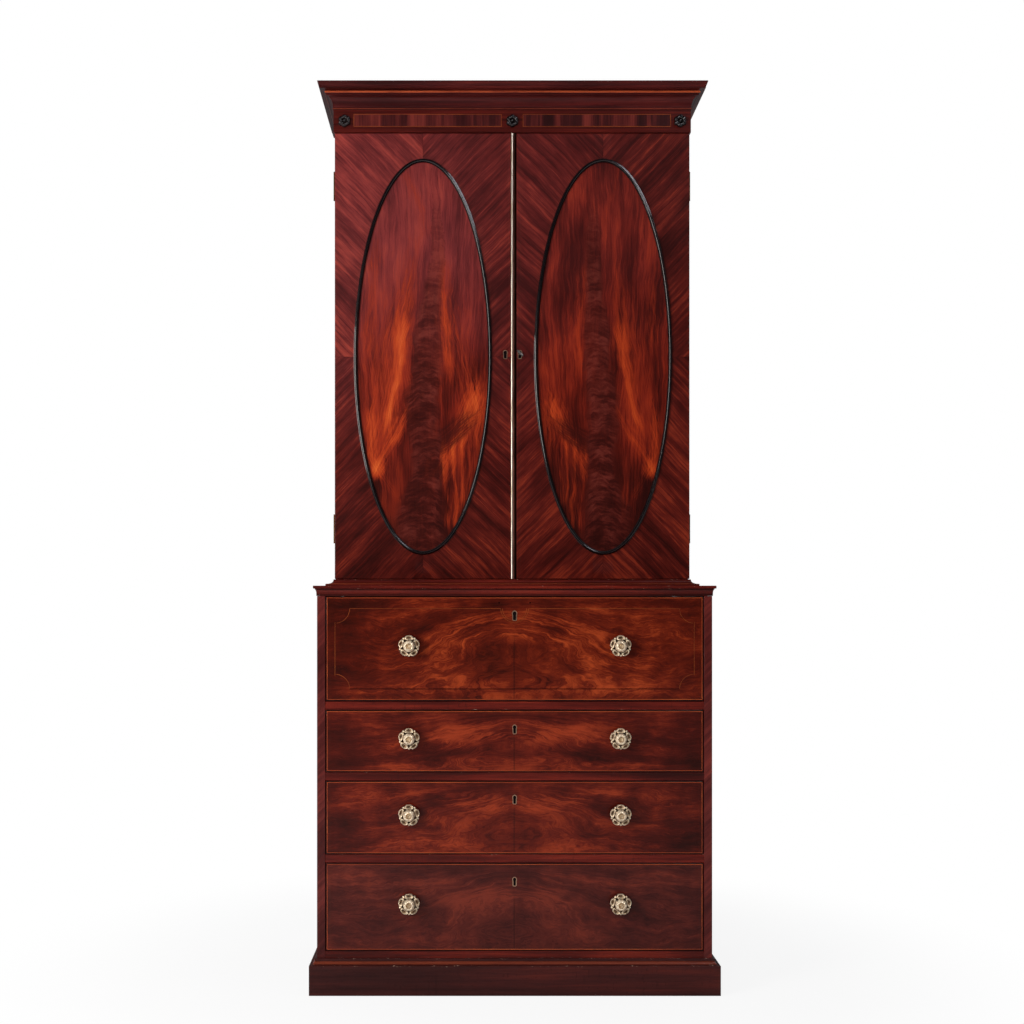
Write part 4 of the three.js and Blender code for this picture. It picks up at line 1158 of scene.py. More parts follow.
def inlay_rings(path: np.ndarray, width: float, face: float, proud: float = 0.0001,
                sunk: float = 0.0006) -> np.ndarray:
    """Rings of a thin strip let into a front face along a path of (x, z) points.

    Each ring is a rectangle across the path, width wide, from proud in front of the face to
    sunk behind it; it is widened at a corner so that the strip keeps its width there.

    Args:
        path: its points, closed where the last is the first.
        width: the breadth of the strip.
        face: where the face stands.
        proud: how far the strip stands out.
        sunk: how deep it is let in.

    Returns:
        The rings (ring, point, 3).
    """
    closed = np.allclose(path[0], path[-1])
    if closed:
        before, after = np.roll(path[:-1], 1, axis=0), np.roll(path[:-1], -1, axis=0)
        path = path[:-1]
    else:
        before = np.concatenate([path[:1], path[:-1]])
        after = np.concatenate([path[1:], path[-1:]])
    into, out = path - before, after - path
    into_unit = into / np.maximum(np.linalg.norm(into, axis=1, keepdims=True), 1e-12)
    out_unit = out / np.maximum(np.linalg.norm(out, axis=1, keepdims=True), 1e-12)
    along = into_unit + out_unit
    along /= np.linalg.norm(along, axis=1, keepdims=True)
    across = np.stack([-along[:, 1], along[:, 0]], axis=-1)
    both = (np.linalg.norm(into, axis=1) > 0) & (np.linalg.norm(out, axis=1) > 0)
    corner = np.where(both, np.clip((along * out_unit).sum(1), 0.3, 1), 1.0)[:, None]
    left, right = path + across * width / 2 / corner, path - across * width / 2 / corner
    front, behind = face - proud, face + sunk
    rings = np.stack([stood(line, y) for line, y in ((left, front), (right, front), (right, behind),
                                                     (left, behind))], axis=1)
    return np.concatenate([rings, rings[:1]]) if closed else rings


def frame_path(low: Flat, high: Flat) -> np.ndarray:
    """The closed path of a rectangle from its lower left to its upper right corner."""
    return np.array([low, (high[0], low[1]), high, (low[0], high[1]), low])


def turned(x: float, z: float, profile: np.ndarray, around: int = 32) -> np.ndarray:
    """Rings of a turned piece whose axis lies along Y, from its profile of (radius, y) points.

    Args:
        x, z: where the axis lies.
        profile: its points.
        around: how many points a ring has.

    Returns:
        The rings (ring, point, 3).
    """
    turn = angles(around)
    radius, y = profile[:, 0:1], profile[:, 1:2]
    return np.stack([x + radius * np.cos(turn), y + 0 * turn, z + radius * np.sin(turn)], axis=-1)


def rise(value: np.ndarray, low: float, high: float) -> np.ndarray:
    """Rises smoothly from 0 at low to 1 at high: 3 s s - 2 s s s of the clipped share s."""
    s = np.clip((value - low) / (high - low), 0, 1)
    return s * s * (3 - 2 * s)


def dress(piece: bpy.types.Object, body: str, slot: str, *materials: bpy.types.Material,
          front: int = 0, back: int = 0) -> bpy.types.Object:
    """Gives a new piece its materials and the body that it rides on.

    Args:
        piece: the finished piece.
        body: the CAD body that carries it.
        slot: not used.
        materials: its materials; the first covers it all.
        front: which material covers faces that look to the front.
        back: which material covers faces that look to the back.

    Returns:
        The piece.
    """
    mesh = piece.data
    for material in materials:
        mesh.materials.append(material)
    if front or back:
        normals = np.zeros(len(mesh.polygons) * 3)
        mesh.polygons.foreach_get("normal", normals)
        facing = normals.reshape(-1, 3)[:, 1]
        chosen = np.where(facing < -0.7, front, np.where(facing > 0.7, back, 0))
        mesh.polygons.foreach_set("material_index", chosen.astype(np.int32))
    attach(piece, body)
    log.info("%s rides on %s", piece.name, body)
    return piece


def repaint(node: str, material: bpy.types.Material) -> None:
    """Gives a CAD node that stays in view its material.

    Args:
        node: the CAD node.
        material: what it gets.
    """
    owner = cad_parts[node]
    owner.data.materials.clear()
    owner.data.materials.append(material)
    log.info("%s stays in view", node)


# Sub-assemblies

@dataclass
class Mouldings:
    """The four mouldings that run round the cases, each replacing its CAD solid."""

    palette: Palette

    def build(self) -> None:
        """Makes the cornice, the waist moulding, the edge of the lower top and the plinth."""
        self.cornice()
        self.waist()
        self.top_board()
        self.plinth()

    def lay(self, node: str, name: str, section: np.ndarray, reach: float, material: str,
            tones: Tones = MAHOGANY, **wear_and_painted_light: tuple) -> None:
        """Carries a section round a case in the place of its CAD node, in mitred mahogany.

        Args:
            node: the CAD node.
            name: the piece's name.
            section: its points (out, height).
            reach: how far it stands out beyond the case, in millimetres.
            material: the material's name.
            tones: its colours.
            wear_and_painted_light: its worn heights, its painted highlight heights and its painted shade
                bands.
        """
        low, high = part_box(node)
        half, front = high.x - reach * MM, low.y + reach * MM
        made = mitred(name, section, half, front, high.y)
        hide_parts(node)
        wood = Wood(material, tones, Grain.MITRED, mitre_half=half, mitre_front=front, **wear_and_painted_light)
        dress(made, "case", "mahogany", wood.build())

    def cornice(self) -> None:
        """Astragal, cavetto, bead and fascia under a flat top."""
        low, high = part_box("cornice")
        foot, top = low.z / MM, high.z / MM
        section = section_of(
            (-15, foot), (0, foot),
            half_round((0.4, foot), (0.4, foot + 4.5), 2.1, 8),
            (1.0, foot + 4.6), (1.0, foot + 7.2),
            curve((1.5, foot + 8), (17, foot + 31.5), 14, True),
            (17.2, foot + 32), (17.2, foot + 35.2),
            half_round((18, foot + 35.5), (18, foot + 43), 3.0, 10),
            (18, foot + 44.5), (33, foot + 44.5),
            (33.4, foot + 50.5), (34.6, foot + 51.2), (35.2, foot + 52),
            (37.0, foot + 58), (38, foot + 59), (38, top - 0.5), (37.5, top), (-15, top),
        )
        # Painted highlights: warm bands on the bead and on the astragal.
        self.lay("cornice", "cornice_moulding", section, 38, "cornice_mahogany", MAHOGANY_CORNICE,
                 rubbed=((low.z + 0.0395, 0.0018, 0.95), (low.z + 0.0022, 0.0008, 0.3)))

    def waist(self) -> None:
        """A quarter hollow under a fillet, over a square foot, with the strip under the doors."""
        low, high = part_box("waist_moulding")
        foot, top = low.z / MM, high.z / MM
        section = section_of(
            (0.25, foot), (21.6, foot), (22, foot + 0.4), (22, foot + 5.6), (21.6, foot + 6),
            (19.4, foot + 6.2),
            curve((19, foot + 6.4), (3.4, top - 2.6), 10, False),
            (3, top - 2.4), (3, top - 0.3), (2.7, top), (0.25, top),
        )
        reach = 22
        # Painted highlight: a warm band on the arris above the square foot.
        self.lay("waist_moulding", "waist_moulding_run", section, reach, "waist_mahogany",
                 worn=(high.z,), rubbed=((low.z + 0.0064, 0.0006, 0.7),))
        half, front = high.x - reach * MM, low.y + reach * MM
        ledge = eased_boards("strip_under_doors", [((-half, front + 0.0002, low.z),
                                                    (half, front + 0.025, high.z))], 0.0004)
        dress(ledge, "case", "mahogany", self.palette.board_x)

    def top_board(self) -> None:
        """The top of the lower case: a board with an ovolo, a quirk and a square lip on three sides."""
        low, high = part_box("lower_top_board")
        reach = 9
        half, front = high.x - reach * MM, low.y + reach * MM
        foot, top = low.z / MM, high.z / MM
        edge = section_of(
            (1.2, foot), (1.5, foot + 0.4), (1.5, foot + 4),
            curve((1.5, foot + 4), (5, foot + 16), 8, True),
            (5, foot + 18), (8.4, foot + 18), (reach, foot + 18.6), (reach, top - 0.8), (8.2, top),
        )
        out, height = edge[:, 0], edge[:, 1]
        back = np.full_like(out, high.y)
        corner = [(-half - out, back), (half + out, back), (half + out, front - out),
                  (-half - out, front - out)]
        rings = np.stack([np.stack([x, y, height], -1) for x, y in corner], axis=1)
        made = skin("lower_top_moulded_board", rings, smooth=28.0)
        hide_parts("lower_top_board")
        # Painted shade: dark bands in the hollow under the lip and along the foot of the edge.
        material = Wood("lower_top_mahogany", MAHOGANY, seed=1.0,
                        worn=(high.z - 0.0005, low.z + 0.018),
                        painted_shade_bands=((low.z + 0.0155, 0.0014, 0.7), (low.z + 0.002, 0.0022, 0.6))).build()
        dress(made, "case", "mahogany", material)

    def plinth(self) -> None:
        """A plain band with an ovolo and a fillet on its upper edge."""
        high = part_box("plinth")[1]
        top = high.z / MM
        section = section_of(
            (0.02, 0), (17.6, 0), (18, 0.4), (18, top - 15.6), (17.4, top - 15),
            curve((17, top - 15), (5.2, top - 5.2), 10, False),
            (5, top - 5), (5, top - 0.4), (4.6, top), (0.02, top),
        )
        # Painted highlight: a faint warm band on the ovolo.
        self.lay("plinth", "plinth_band", section, 18, "plinth_mahogany", MAHOGANY_PLINTH,
                 worn=(high.z - 0.0155, high.z - 0.0005, 0.001), rubbed=((high.z - 0.010, 0.0022, 0.3),))


@dataclass
class CaseBoards:
    """The plain boards of both cases."""

    palette: Palette

    def build(self) -> None:
        """Rounds the arrises of the boards that show, and finishes the rest.

        The boards that close a case against its mouldings keep their square edges, and the lower
        back board reaches up to the top board, so that no light shows between them.
        """
        for side in SIDES:
            made = node_board(f"lower_side_{side}")
            dress(made, "case", "mahogany", self.palette.board_z, self.palette.stile, front=1)
            repaint(f"upper_side_{side}", self.palette.board_z)
        for place in ("lower", "middle", "upper"):
            repaint(f"drawer_divider_{place}", self.palette.rail)
        for node in ("lower_bottom_board", "upper_bottom_board", "upper_top_board"):
            repaint(node, self.palette.board_x)
        repaint("upper_back_board", self.palette.oak_z)
        low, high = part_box("lower_back_board")
        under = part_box("lower_top_board")[0].z
        made = eased_boards("lower_back_board_fitted", [(tuple(low), (high.x, high.y, under))], 0.0001)
        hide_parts("lower_back_board")
        dress(made, "case", "lining_oak", self.palette.oak_z)
        for node in ("shelf_lower", "shelf_upper"):
            made = node_board(node)
            dress(made, "case", "mahogany", self.palette.board_x)


@dataclass
class Frieze:
    """The frieze with its inlaid panels and three carved roundels."""

    palette: Palette
    panel_inner: float = 0.028
    panel_outer: float = 0.408
    panel_low: float = 2.1853
    panel_high: float = 2.2164
    string_width: float = 0.0014

    def build(self) -> None:
        """Makes the board, the strings round its panels and the roundels."""
        veneer = FriezeVeneer("frieze_crossbanding", self.panel_inner, self.panel_outer,
                              self.panel_low, self.panel_high)
        repaint("frieze", veneer.build())
        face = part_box("frieze")[0].y
        loops = [frame_path((side * self.panel_inner, self.panel_low),
                            (side * self.panel_outer, self.panel_high)) for side in (-1, 1)]
        made = skins("frieze_stringing", [inlay_rings(loop, self.string_width, face) for loop in loops])
        dress(made, "case", "boxwood", self.palette.faint_boxwood)
        for place in ("left", "centre", "right"):
            self.roundel(place)

    def roundel(self, place: str) -> None:
        """A six-petalled rosette round a button.

        Its height over the frieze is a sum of a dish, petals as the cosine of six times the
        angle, and a domed button; its outline draws in between two petals.

        Args:
            place: left, centre or right.
        """
        low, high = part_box(f"roundel_{place}")
        middle = (low + high) / 2
        radius, proud = (high.z - low.z) / 2, high.y - low.y
        share = np.concatenate([np.linspace(0.001, 0.3, 12), np.linspace(0.32, 1, 30)])
        r, turn = np.meshgrid(share, angles(96), indexing="ij")
        lobe = 0.5 + 0.5 * np.cos(6 * (turn - math.pi / 2))
        outline = 0.86 + 0.14 * lobe ** 0.6
        button = np.sqrt(np.clip(1 - (r / 0.27) ** 2, 0, 1)) * 0.55
        petal = np.sin(np.clip((r - 0.3) / 0.7, 0, 1) * math.pi) ** 0.7 * (0.45 + 0.35 * lobe)
        vein = -0.12 * np.exp(-((1 - lobe) * 9) ** 2) * np.clip((r - 0.4) * 4, 0, 1)
        height = np.clip(0.32 + button + petal + vein, 0, 1) * proud
        height *= np.clip((1.001 - r) / 0.06, 0.25, 1) ** 0.5
        rings = np.stack([middle.x + radius * outline * r * np.cos(turn), high.y - height,
                          middle.z + radius * outline * r * np.sin(turn)], axis=-1)
        rim = rings[-1:].copy()
        rim[..., 1] = high.y
        made = skin(f"roundel_{place}_carved", np.concatenate([rings, rim]), smooth=50.0)
        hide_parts(f"roundel_{place}")
        dress(made, "case", "ebonised_wood", self.palette.ebonised)


@dataclass
class Knob:
    """A cast rosette knob: five cupped petals behind a smaller star of five with a dished centre."""

    palette: Palette
    around: int = 160
    radius: float = 0.0265

    def build(self, node: str, body: str) -> None:
        """Makes the knob in the place of its CAD node.

        The front is a polar sheet over r, the share of the radius, and t, the angle. With p as
        0 in the middle of a petal and 1 between two, the sheet is a dish to r = 0.29, its rim,
        a lobed collar down to r = 0.56, a step back, and then the outer petals: each is a cup
        round r = 0.79, where d, the stretched distance from its middle, is 0, with a raised lip
        about d = 0.9 and a gap beyond it. The back returns to a waisted neck and a small base.

        Args:
            node: the CAD node.
            body: the body that carries it.
        """
        low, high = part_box(node)
        x, z = (low.x + high.x) / 2, high.z - self.radius
        seat, reach = high.y, high.y - low.y
        turn = angles(self.around)
        share = np.concatenate([np.linspace(0.003, 0.36, 18), np.linspace(0.38, 0.50, 7),
                                np.linspace(0.515, 0.66, 12), np.linspace(0.675, 1.0, 26)])
        r, t = np.meshgrid(share, turn, indexing="ij")
        p = np.abs(((t - math.pi / 2) * 5 / (2 * math.pi) + 0.5) % 1 - 0.5) * 2
        dish = 0.74 + 0.24 * np.clip(r / 0.29, 0, 1) ** 2
        collar = 0.985 - 0.9 * np.clip(r - 0.34, 0, 1) ** 1.25 - 0.07 * (1 - p) ** 2 * rise(r, 0.38, 0.52)
        tip = 0.545 - 0.05 * (1 - p) ** 2
        d = np.sqrt(((r - 0.79) / 0.21) ** 2 + (p / 0.80) ** 2)
        petal = 0.40 + 0.25 * rise(d, 0.25, 0.85) - 0.22 * rise(d, 1.0, 1.25)
        petal += 0.06 * np.exp(-(p / 0.15) ** 2) * rise(r, 0.6, 0.72) * rise(-r, -0.95, -0.84)
        petal -= 0.12 * rise(r, 0.9, 1.0)
        lip = rise(r, 0.285, 0.325)
        inner = dish + (collar - dish) * lip
        sheet = inner + (petal - inner) * rise(r, tip, tip + 0.065)
        outline = 1 - 0.13 * p ** 3
        front = self.rings(x, z, seat, self.radius * outline * r, reach * sheet, t)
        # How deep each point lies in a hollow, for the brass to darken there: partly tarnish, partly painted
        # shade, with a painted shade ring round the dish.
        cup = 0.62 * rise(-d, -0.66, -0.3) * rise(r, 0.58, 0.64)
        gap = 0.9 * rise(d, 1.02, 1.16) * rise(r, 0.56, 0.62)
        step = np.exp(-((r - tip - 0.07) / 0.035) ** 2) * 0.75
        groove = 0.35 * (1 - p) ** 2 * rise(r, 0.44, 0.54)
        bowl = 0.5 * np.exp(-((r - 0.235) / 0.05) ** 2)
        deep = np.maximum.reduce([cup, gap, step, groove, bowl])
        back_share = np.array([[0.97, 0.42], [0.86, 0.36], [0.6, 0.34], [0.38, 0.32], [0.29, 0.25],
                               [0.28, 0.14], [0.34, 0.06], [0.42, 0.03], [0.42, 0.0]])
        r2, t2 = np.meshgrid(back_share[:, 0], turn, indexing="ij")
        draw_in = 1 - 0.13 * p[:9] ** 3 * np.clip((r2 - 0.4) * 2, 0, 1)
        back = self.rings(x, z, seat, self.radius * draw_in * r2, reach * back_share[:, 1:2] + 0 * t2, t2)
        parts = [np.concatenate([front, back])]
        for k in range(5):
            angle = math.pi / 2 + (k + 0.5) * 2 * math.pi / 5
            away = 0.85 * self.radius
            parts.append(self.pearl((x + away * math.cos(angle), seat - reach * 0.50,
                                     z + away * math.sin(angle)), 0.0030))
        counted = sum(part.shape[0] * part.shape[1] for part in parts)
        hollow = np.zeros(counted)
        hollow[:deep.size] = deep.ravel()
        # The back of the knob is darkened as painted shade.
        hollow[deep.size:deep.size + r2.size] = 0.8
        made = skins(f"{node}_cast", parts, 60.0, hollow)
        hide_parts(node)
        dress(made, body, "cast_brass", self.palette.brass)

    @staticmethod
    def rings(x: float, z: float, seat: float, r: np.ndarray, out: np.ndarray, t: np.ndarray) -> np.ndarray:
        """Points at radius r and angle t, standing out in front of the seat."""
        return np.stack([x + r * np.cos(t), seat - out, z + r * np.sin(t)], axis=-1)

    @staticmethod
    def pearl(centre: tuple, radius: float) -> np.ndarray:
        """Rings of a small ball about a point, from its front to its back.

        Args:
            centre: its middle.
            radius: its radius.

        Returns:
            The rings.
        """
        polar = np.linspace(0.05, math.pi - 0.05, 11)
        profile = np.stack([radius * np.sin(polar), centre[1] - radius * np.cos(polar)], axis=-1)
        return turned(centre[0], centre[2], profile, 16)


@dataclass
class Keyhole:
    """A keyhole lined with brass: a round head over a straight body with a rounded foot."""

    palette: Palette
    height: float = 0.0235
    width: float = 0.0115
    lining: float = 0.0017

    def outline(self, x: float, z: float, inset: float) -> np.ndarray:
        """The closed outline, inset from the lining's outer edge.

        The half width at a share s of the height rises from a rounded foot at s = 0 to a straight
        body, swells a little into the head and closes as a circle; the left mirrors the right.

        Args:
            x, z: the middle of the keyhole.
            inset: how far inside.

        Returns:
            The points (x, z).
        """
        s = np.array([0, 0.0, 0.05, 0.12, 0.3, 0.5, 0.6, 0.7, 0.78, 0.86, 0.92, 0.97, 1.0])
        half = np.array([0.0, 0.5, 0.74, 0.82, 0.82, 0.82, 0.88, 0.98, 1.0, 0.9, 0.7, 0.44, 0.0])
        fine, index = np.linspace(0, 1, 48), np.linspace(0, 1, len(s))
        smooth_s, smooth_half = np.interp(fine, index, s), np.interp(fine, index, half)
        right = np.stack([x + smooth_half * (self.width / 2 - inset),
                          z + (smooth_s - 0.5) * (self.height - 2 * inset)], axis=-1)
        left = right[-2:0:-1] * np.array([-1, 1]) + np.array([2 * x, 0])
        return np.concatenate([right, left])

    def build(self, name: str, body: str, x: float, z: float, face: float) -> None:
        """Lets the lining and the dark hole into a face.

        Args:
            name: what the keyhole belongs to.
            body: the body that carries it.
            x: its middle.
            z: the height of its middle.
            face: where the face stands.
        """
        line = self.outline(x, z, self.lining / 2)
        loop = np.concatenate([line, line[:1]])
        rim = skin(f"{name}_keyhole_lining", inlay_rings(loop, self.lining, face, 0.0002, 0.0004),
                   smooth=40.0)
        dress(rim, body, "cast_brass", self.palette.lining_brass)
        # The hole is a dark sheet just behind the face: painted shade for its depth.
        hole = self.outline(x, z, self.lining * 0.8)
        rings = [stood(hole, y) for y in (face - 0.00005, face + 0.0003)]
        dark = skin(f"{name}_keyhole_dark", np.stack(rings))
        dress(dark, body, "ebonised_wood", self.palette.dark)


def edge_string(palette: Palette, node: str, body: str, width: float = 0.0014) -> None:
    """Lets a boxwood string into a drawer front, a little inside its edge.

    Args:
        palette: the finishes.
        node: the drawer front.
        body: the body that carries it.
        width: the breadth of the string.
    """
    low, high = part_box(node)
    path = frame_path((low.x + EDGE_INSET, low.z + EDGE_INSET), (high.x - EDGE_INSET, high.z - EDGE_INSET))
    made = skins(f"{body}_edge_string", [inlay_rings(path, width, low.y)])
    dress(made, body, "boxwood", palette.boxwood)


def figured_front(palette: Palette, node: str, body: str, tones: Tones, seed: float, arch: float,
                  glow: float, glows: tuple[tuple[float, ...], ...], lean: float = -0.05) -> None:
    """Makes a drawer front or fall of mahogany with crotch veneer on its face.

    Args:
        palette: the finishes.
        node: the CAD node.
        body: the body that carries it.
        tones, seed, arch, glow, glows, lean: as Crotch takes them.
    """
    low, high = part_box(node)
    veneer = Crotch(f"{body}_crotch_veneer", (low.x, low.z), (high.x, high.z), tones, seed, arch,
                    glow, glows, lean)
    made = node_board(node, 0.0012)
    dress(made, body, "flame_veneer", palette.board_x, veneer.build(), palette.inside_x, front=1, back=2)


@dataclass
class Drawers:
    """The three long drawers: fronts, boxwood strings, keyholes, knobs and oak boxes."""

    palette: Palette

    def build(self) -> None:
        """Dresses each drawer."""
        figures = {
            "bottom": (0.275, BOTTOM_TONES, 21.0, 0.68, 0.5,
                       ((0.10, 0.55, 0.12, 0.3, 0.10), (0.33, 0.75, 0.2, 0.2, 0.08))),
            "middle": (0.476, DRAWER_TONES, 33.0, 0.72, 0.7,
                       ((0.08, 0.70, 0.09, 0.16, 0.14), (0.20, 0.78, 0.1, 0.16, 0.10),
                        (0.14, 0.10, 0.3, 0.16, 0.16), (0.46, 0.4, 0.12, 0.7, -0.08))),
            "top": (0.648, DRAWER_TONES, 47.0, 0.66, 0.7,
                    ((0.12, 0.55, 0.09, 0.3, 0.14), (0.12, 0.06, 0.3, 0.22, 0.22),
                     (0.20, 0.6, 0.1, 0.3, 0.05), (0.46, 0.4, 0.12, 0.7, -0.10))),
        }
        for place, (keyhole, tones, seed, arch, glow, glows) in figures.items():
            body = f"{place}_drawer"
            node = f"{body}_front"
            figured_front(self.palette, node, body, tones, seed, arch, glow, glows)
            edge_string(self.palette, node, body)
            Keyhole(self.palette).build(body, body, 0.0, keyhole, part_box(node)[0].y)
            repaint(f"{body}_box", self.palette.oak)
            for side in SIDES:
                Knob(self.palette).build(f"{body}_knob_{side}", body)


@dataclass
class Secretaire:
    """The secretaire drawer: its fall with inlay, and the writing interior."""

    palette: Palette
    line_half: float = 0.440
    line_low: float = 0.747
    line_high: float = 0.944
    notch: float = 0.036
    line_width: float = 0.0012
    upright_half: float = 0.065
    keyhole_height: float = 0.9265
    arcs: Flat = (0.034, 0.0295)
    plug_side: float = 0.038
    plug_height: float = 0.958
    desk: float = 0.730
    desk_half: float = 0.4495
    leather_half: float = 0.425

    def build(self) -> None:
        """Dresses the fall, the desk and the pigeonholes."""
        glows = ((0.06, 0.07, 0.08, 0.15, 0.22), (0.17, 0.16, 0.10, 0.13, 0.19),
                 (0.17, 0.52, 0.10, 0.26, 0.16), (0.30, 0.35, 0.14, 0.4, 0.07),
                 (0.02, 0.45, 0.07, 0.18, -0.12), (0.46, 0.5, 0.14, 0.9, -0.11))
        figured_front(self.palette, "fall_front", "fall", FALL_TONES, 60.0, 0.70, 0.9, glows, 0.15)
        edge_string(self.palette, "fall_front", "fall")
        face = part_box("fall_front")[0].y
        self.lines(face)
        Keyhole(self.palette, 0.0255, 0.0135, 0.002).build("fall", "fall", 0.0, self.keyhole_height, face)
        for side in SIDES:
            Knob(self.palette).build(f"fall_knob_{side}", "fall")
            repaint(f"fall_quadrant_{side}", self.palette.hinge_brass)
            self.small_drawer(side)
        repaint("secretaire_box", self.palette.oak)
        repaint("pigeonholes", self.palette.inside_x)
        self.writing_surface()

    def lines(self, face: float) -> None:
        """The inner line of the fall: straight runs, hollow corners and two arcs under the keyhole.

        Args:
            face: where the face of the fall stands.
        """
        half, low, high, notch = self.line_half, self.line_low, self.line_high, self.notch
        across = half - notch
        middle = (low + high) / 2
        runs = []
        for side in (-1, 1):
            runs.append(np.array([(side * half, middle - self.upright_half),
                                  (side * half, middle + self.upright_half)]))
            runs.append(np.array([(side * (self.arcs[0] + 0.001), high), (side * across, high)]))
            start = 180 if side > 0 else 0
            runs.append(arc(side * half, high, notch, start, start + side * 84))
            runs.append(arc(side * half, low, notch, start, start - side * 84))
        for radius in self.arcs:
            runs.append(arc(0.0, high, radius, 180, 360, 28))
        made = skins("fall_inlaid_lines", [inlay_rings(run, self.line_width, face) for run in runs])
        dress(made, "fall", "boxwood", self.palette.faint_boxwood)
        foot = inlay_rings(np.array([(-across, low), (across, low)]), 0.0018, face)
        peg = np.array([(0.0021, face - 0.0001), (0.0021, face + 0.0005)])
        plugs = [turned(side * self.plug_side, self.plug_height, peg, 12) for side in (-1, 1)]
        made = skins("fall_dark_line_and_plugs", [foot] + plugs)
        dress(made, "fall", "ebonised_wood", self.palette.dark)

    def small_drawer(self, side: str) -> None:
        """A small drawer under the pigeonholes: a tray with a strung front and a brass knob.

        Args:
            side: left or right.
        """
        node, body = f"small_drawer_{side}", f"{side}_small_drawer"
        low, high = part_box(node)
        front, thick, wall, lap, drop = 0.010, 0.009, 0.006, 0.0005, 0.002
        behind, inner_low, inner_high = front + thick - lap, low.x + wall - lap, high.x - wall + lap
        tray = [((low.x, front, low.z), (high.x, front + thick, high.z)),
                ((low.x, behind, low.z), (low.x + wall, high.y, high.z - drop)),
                ((high.x - wall, behind, low.z), (high.x, high.y, high.z - drop)),
                ((inner_low, high.y - wall, low.z), (inner_high, high.y, high.z - drop)),
                ((inner_low, behind, low.z + drop), (inner_high, high.y - wall + lap, low.z + wall))]
        made = eased_boards(f"{node}_tray", tray, 0.0005)
        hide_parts(node)
        dress(made, body, "mahogany", self.palette.inside_x, self.palette.board_x, front=1)
        string = inlay_rings(frame_path((low.x + 0.006, low.z + 0.006), (high.x - 0.006, high.z - 0.006)),
                             0.0012, front)
        dress(skins(f"{node}_string", [string]), body, "boxwood", self.palette.boxwood)
        middle = (low + high) / 2
        out = front - low.y
        profile = np.array([(0.0002, 1), (0.0026, 0.98), (0.0045, 0.86), (0.0053, 0.68), (0.0045, 0.5),
                            (0.0026, 0.38), (0.0022, 0.2), (0.0048, 0.12), (0.0052, 0), (0.0052, -0.034)])
        profile[:, 1] = front - profile[:, 1] * out
        knob = skins(f"{node}_knob", [turned(middle.x, middle.z, profile)], 40.0)
        dress(knob, body, "cast_brass", self.palette.lining_brass)

    def writing_surface(self) -> None:
        """Mahogany round green leather on the desk, and the same on the inside of the fall."""
        box_front, desk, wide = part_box("secretaire_box")[0].y, self.desk, self.desk_half
        band = eased_boards("desk_crossbanding", [((-wide, box_front + 0.025, desk - 0.0006),
                                                   (wide, 0.0095, desk + 0.0004))], 0.0003)
        dress(band, "secretaire_drawer", "crossbanding", self.palette.inside)
        half, front, back = self.leather_half, box_front + 0.047, -0.008
        sheet = eased_boards("desk_leather", [((-half, front, desk), (half, back, desk + 0.0009))], 0.0003)
        leather = Leather("desk_green_leather", half, front, back)
        dress(sheet, "secretaire_drawer", "writing_leather", leather.build())
        fall_low, fall_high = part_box("fall_front")
        inner = fall_high.y
        sheet = eased_boards("fall_leather", [((-half, inner - 0.0004, fall_low.z + 0.028),
                                               (half, inner + 0.0008, fall_high.z - 0.026))], 0.0003)
        leather = Leather("fall_green_leather", half, -1.0, 1.0)
        dress(sheet, "fall", "writing_leather", leather.build())


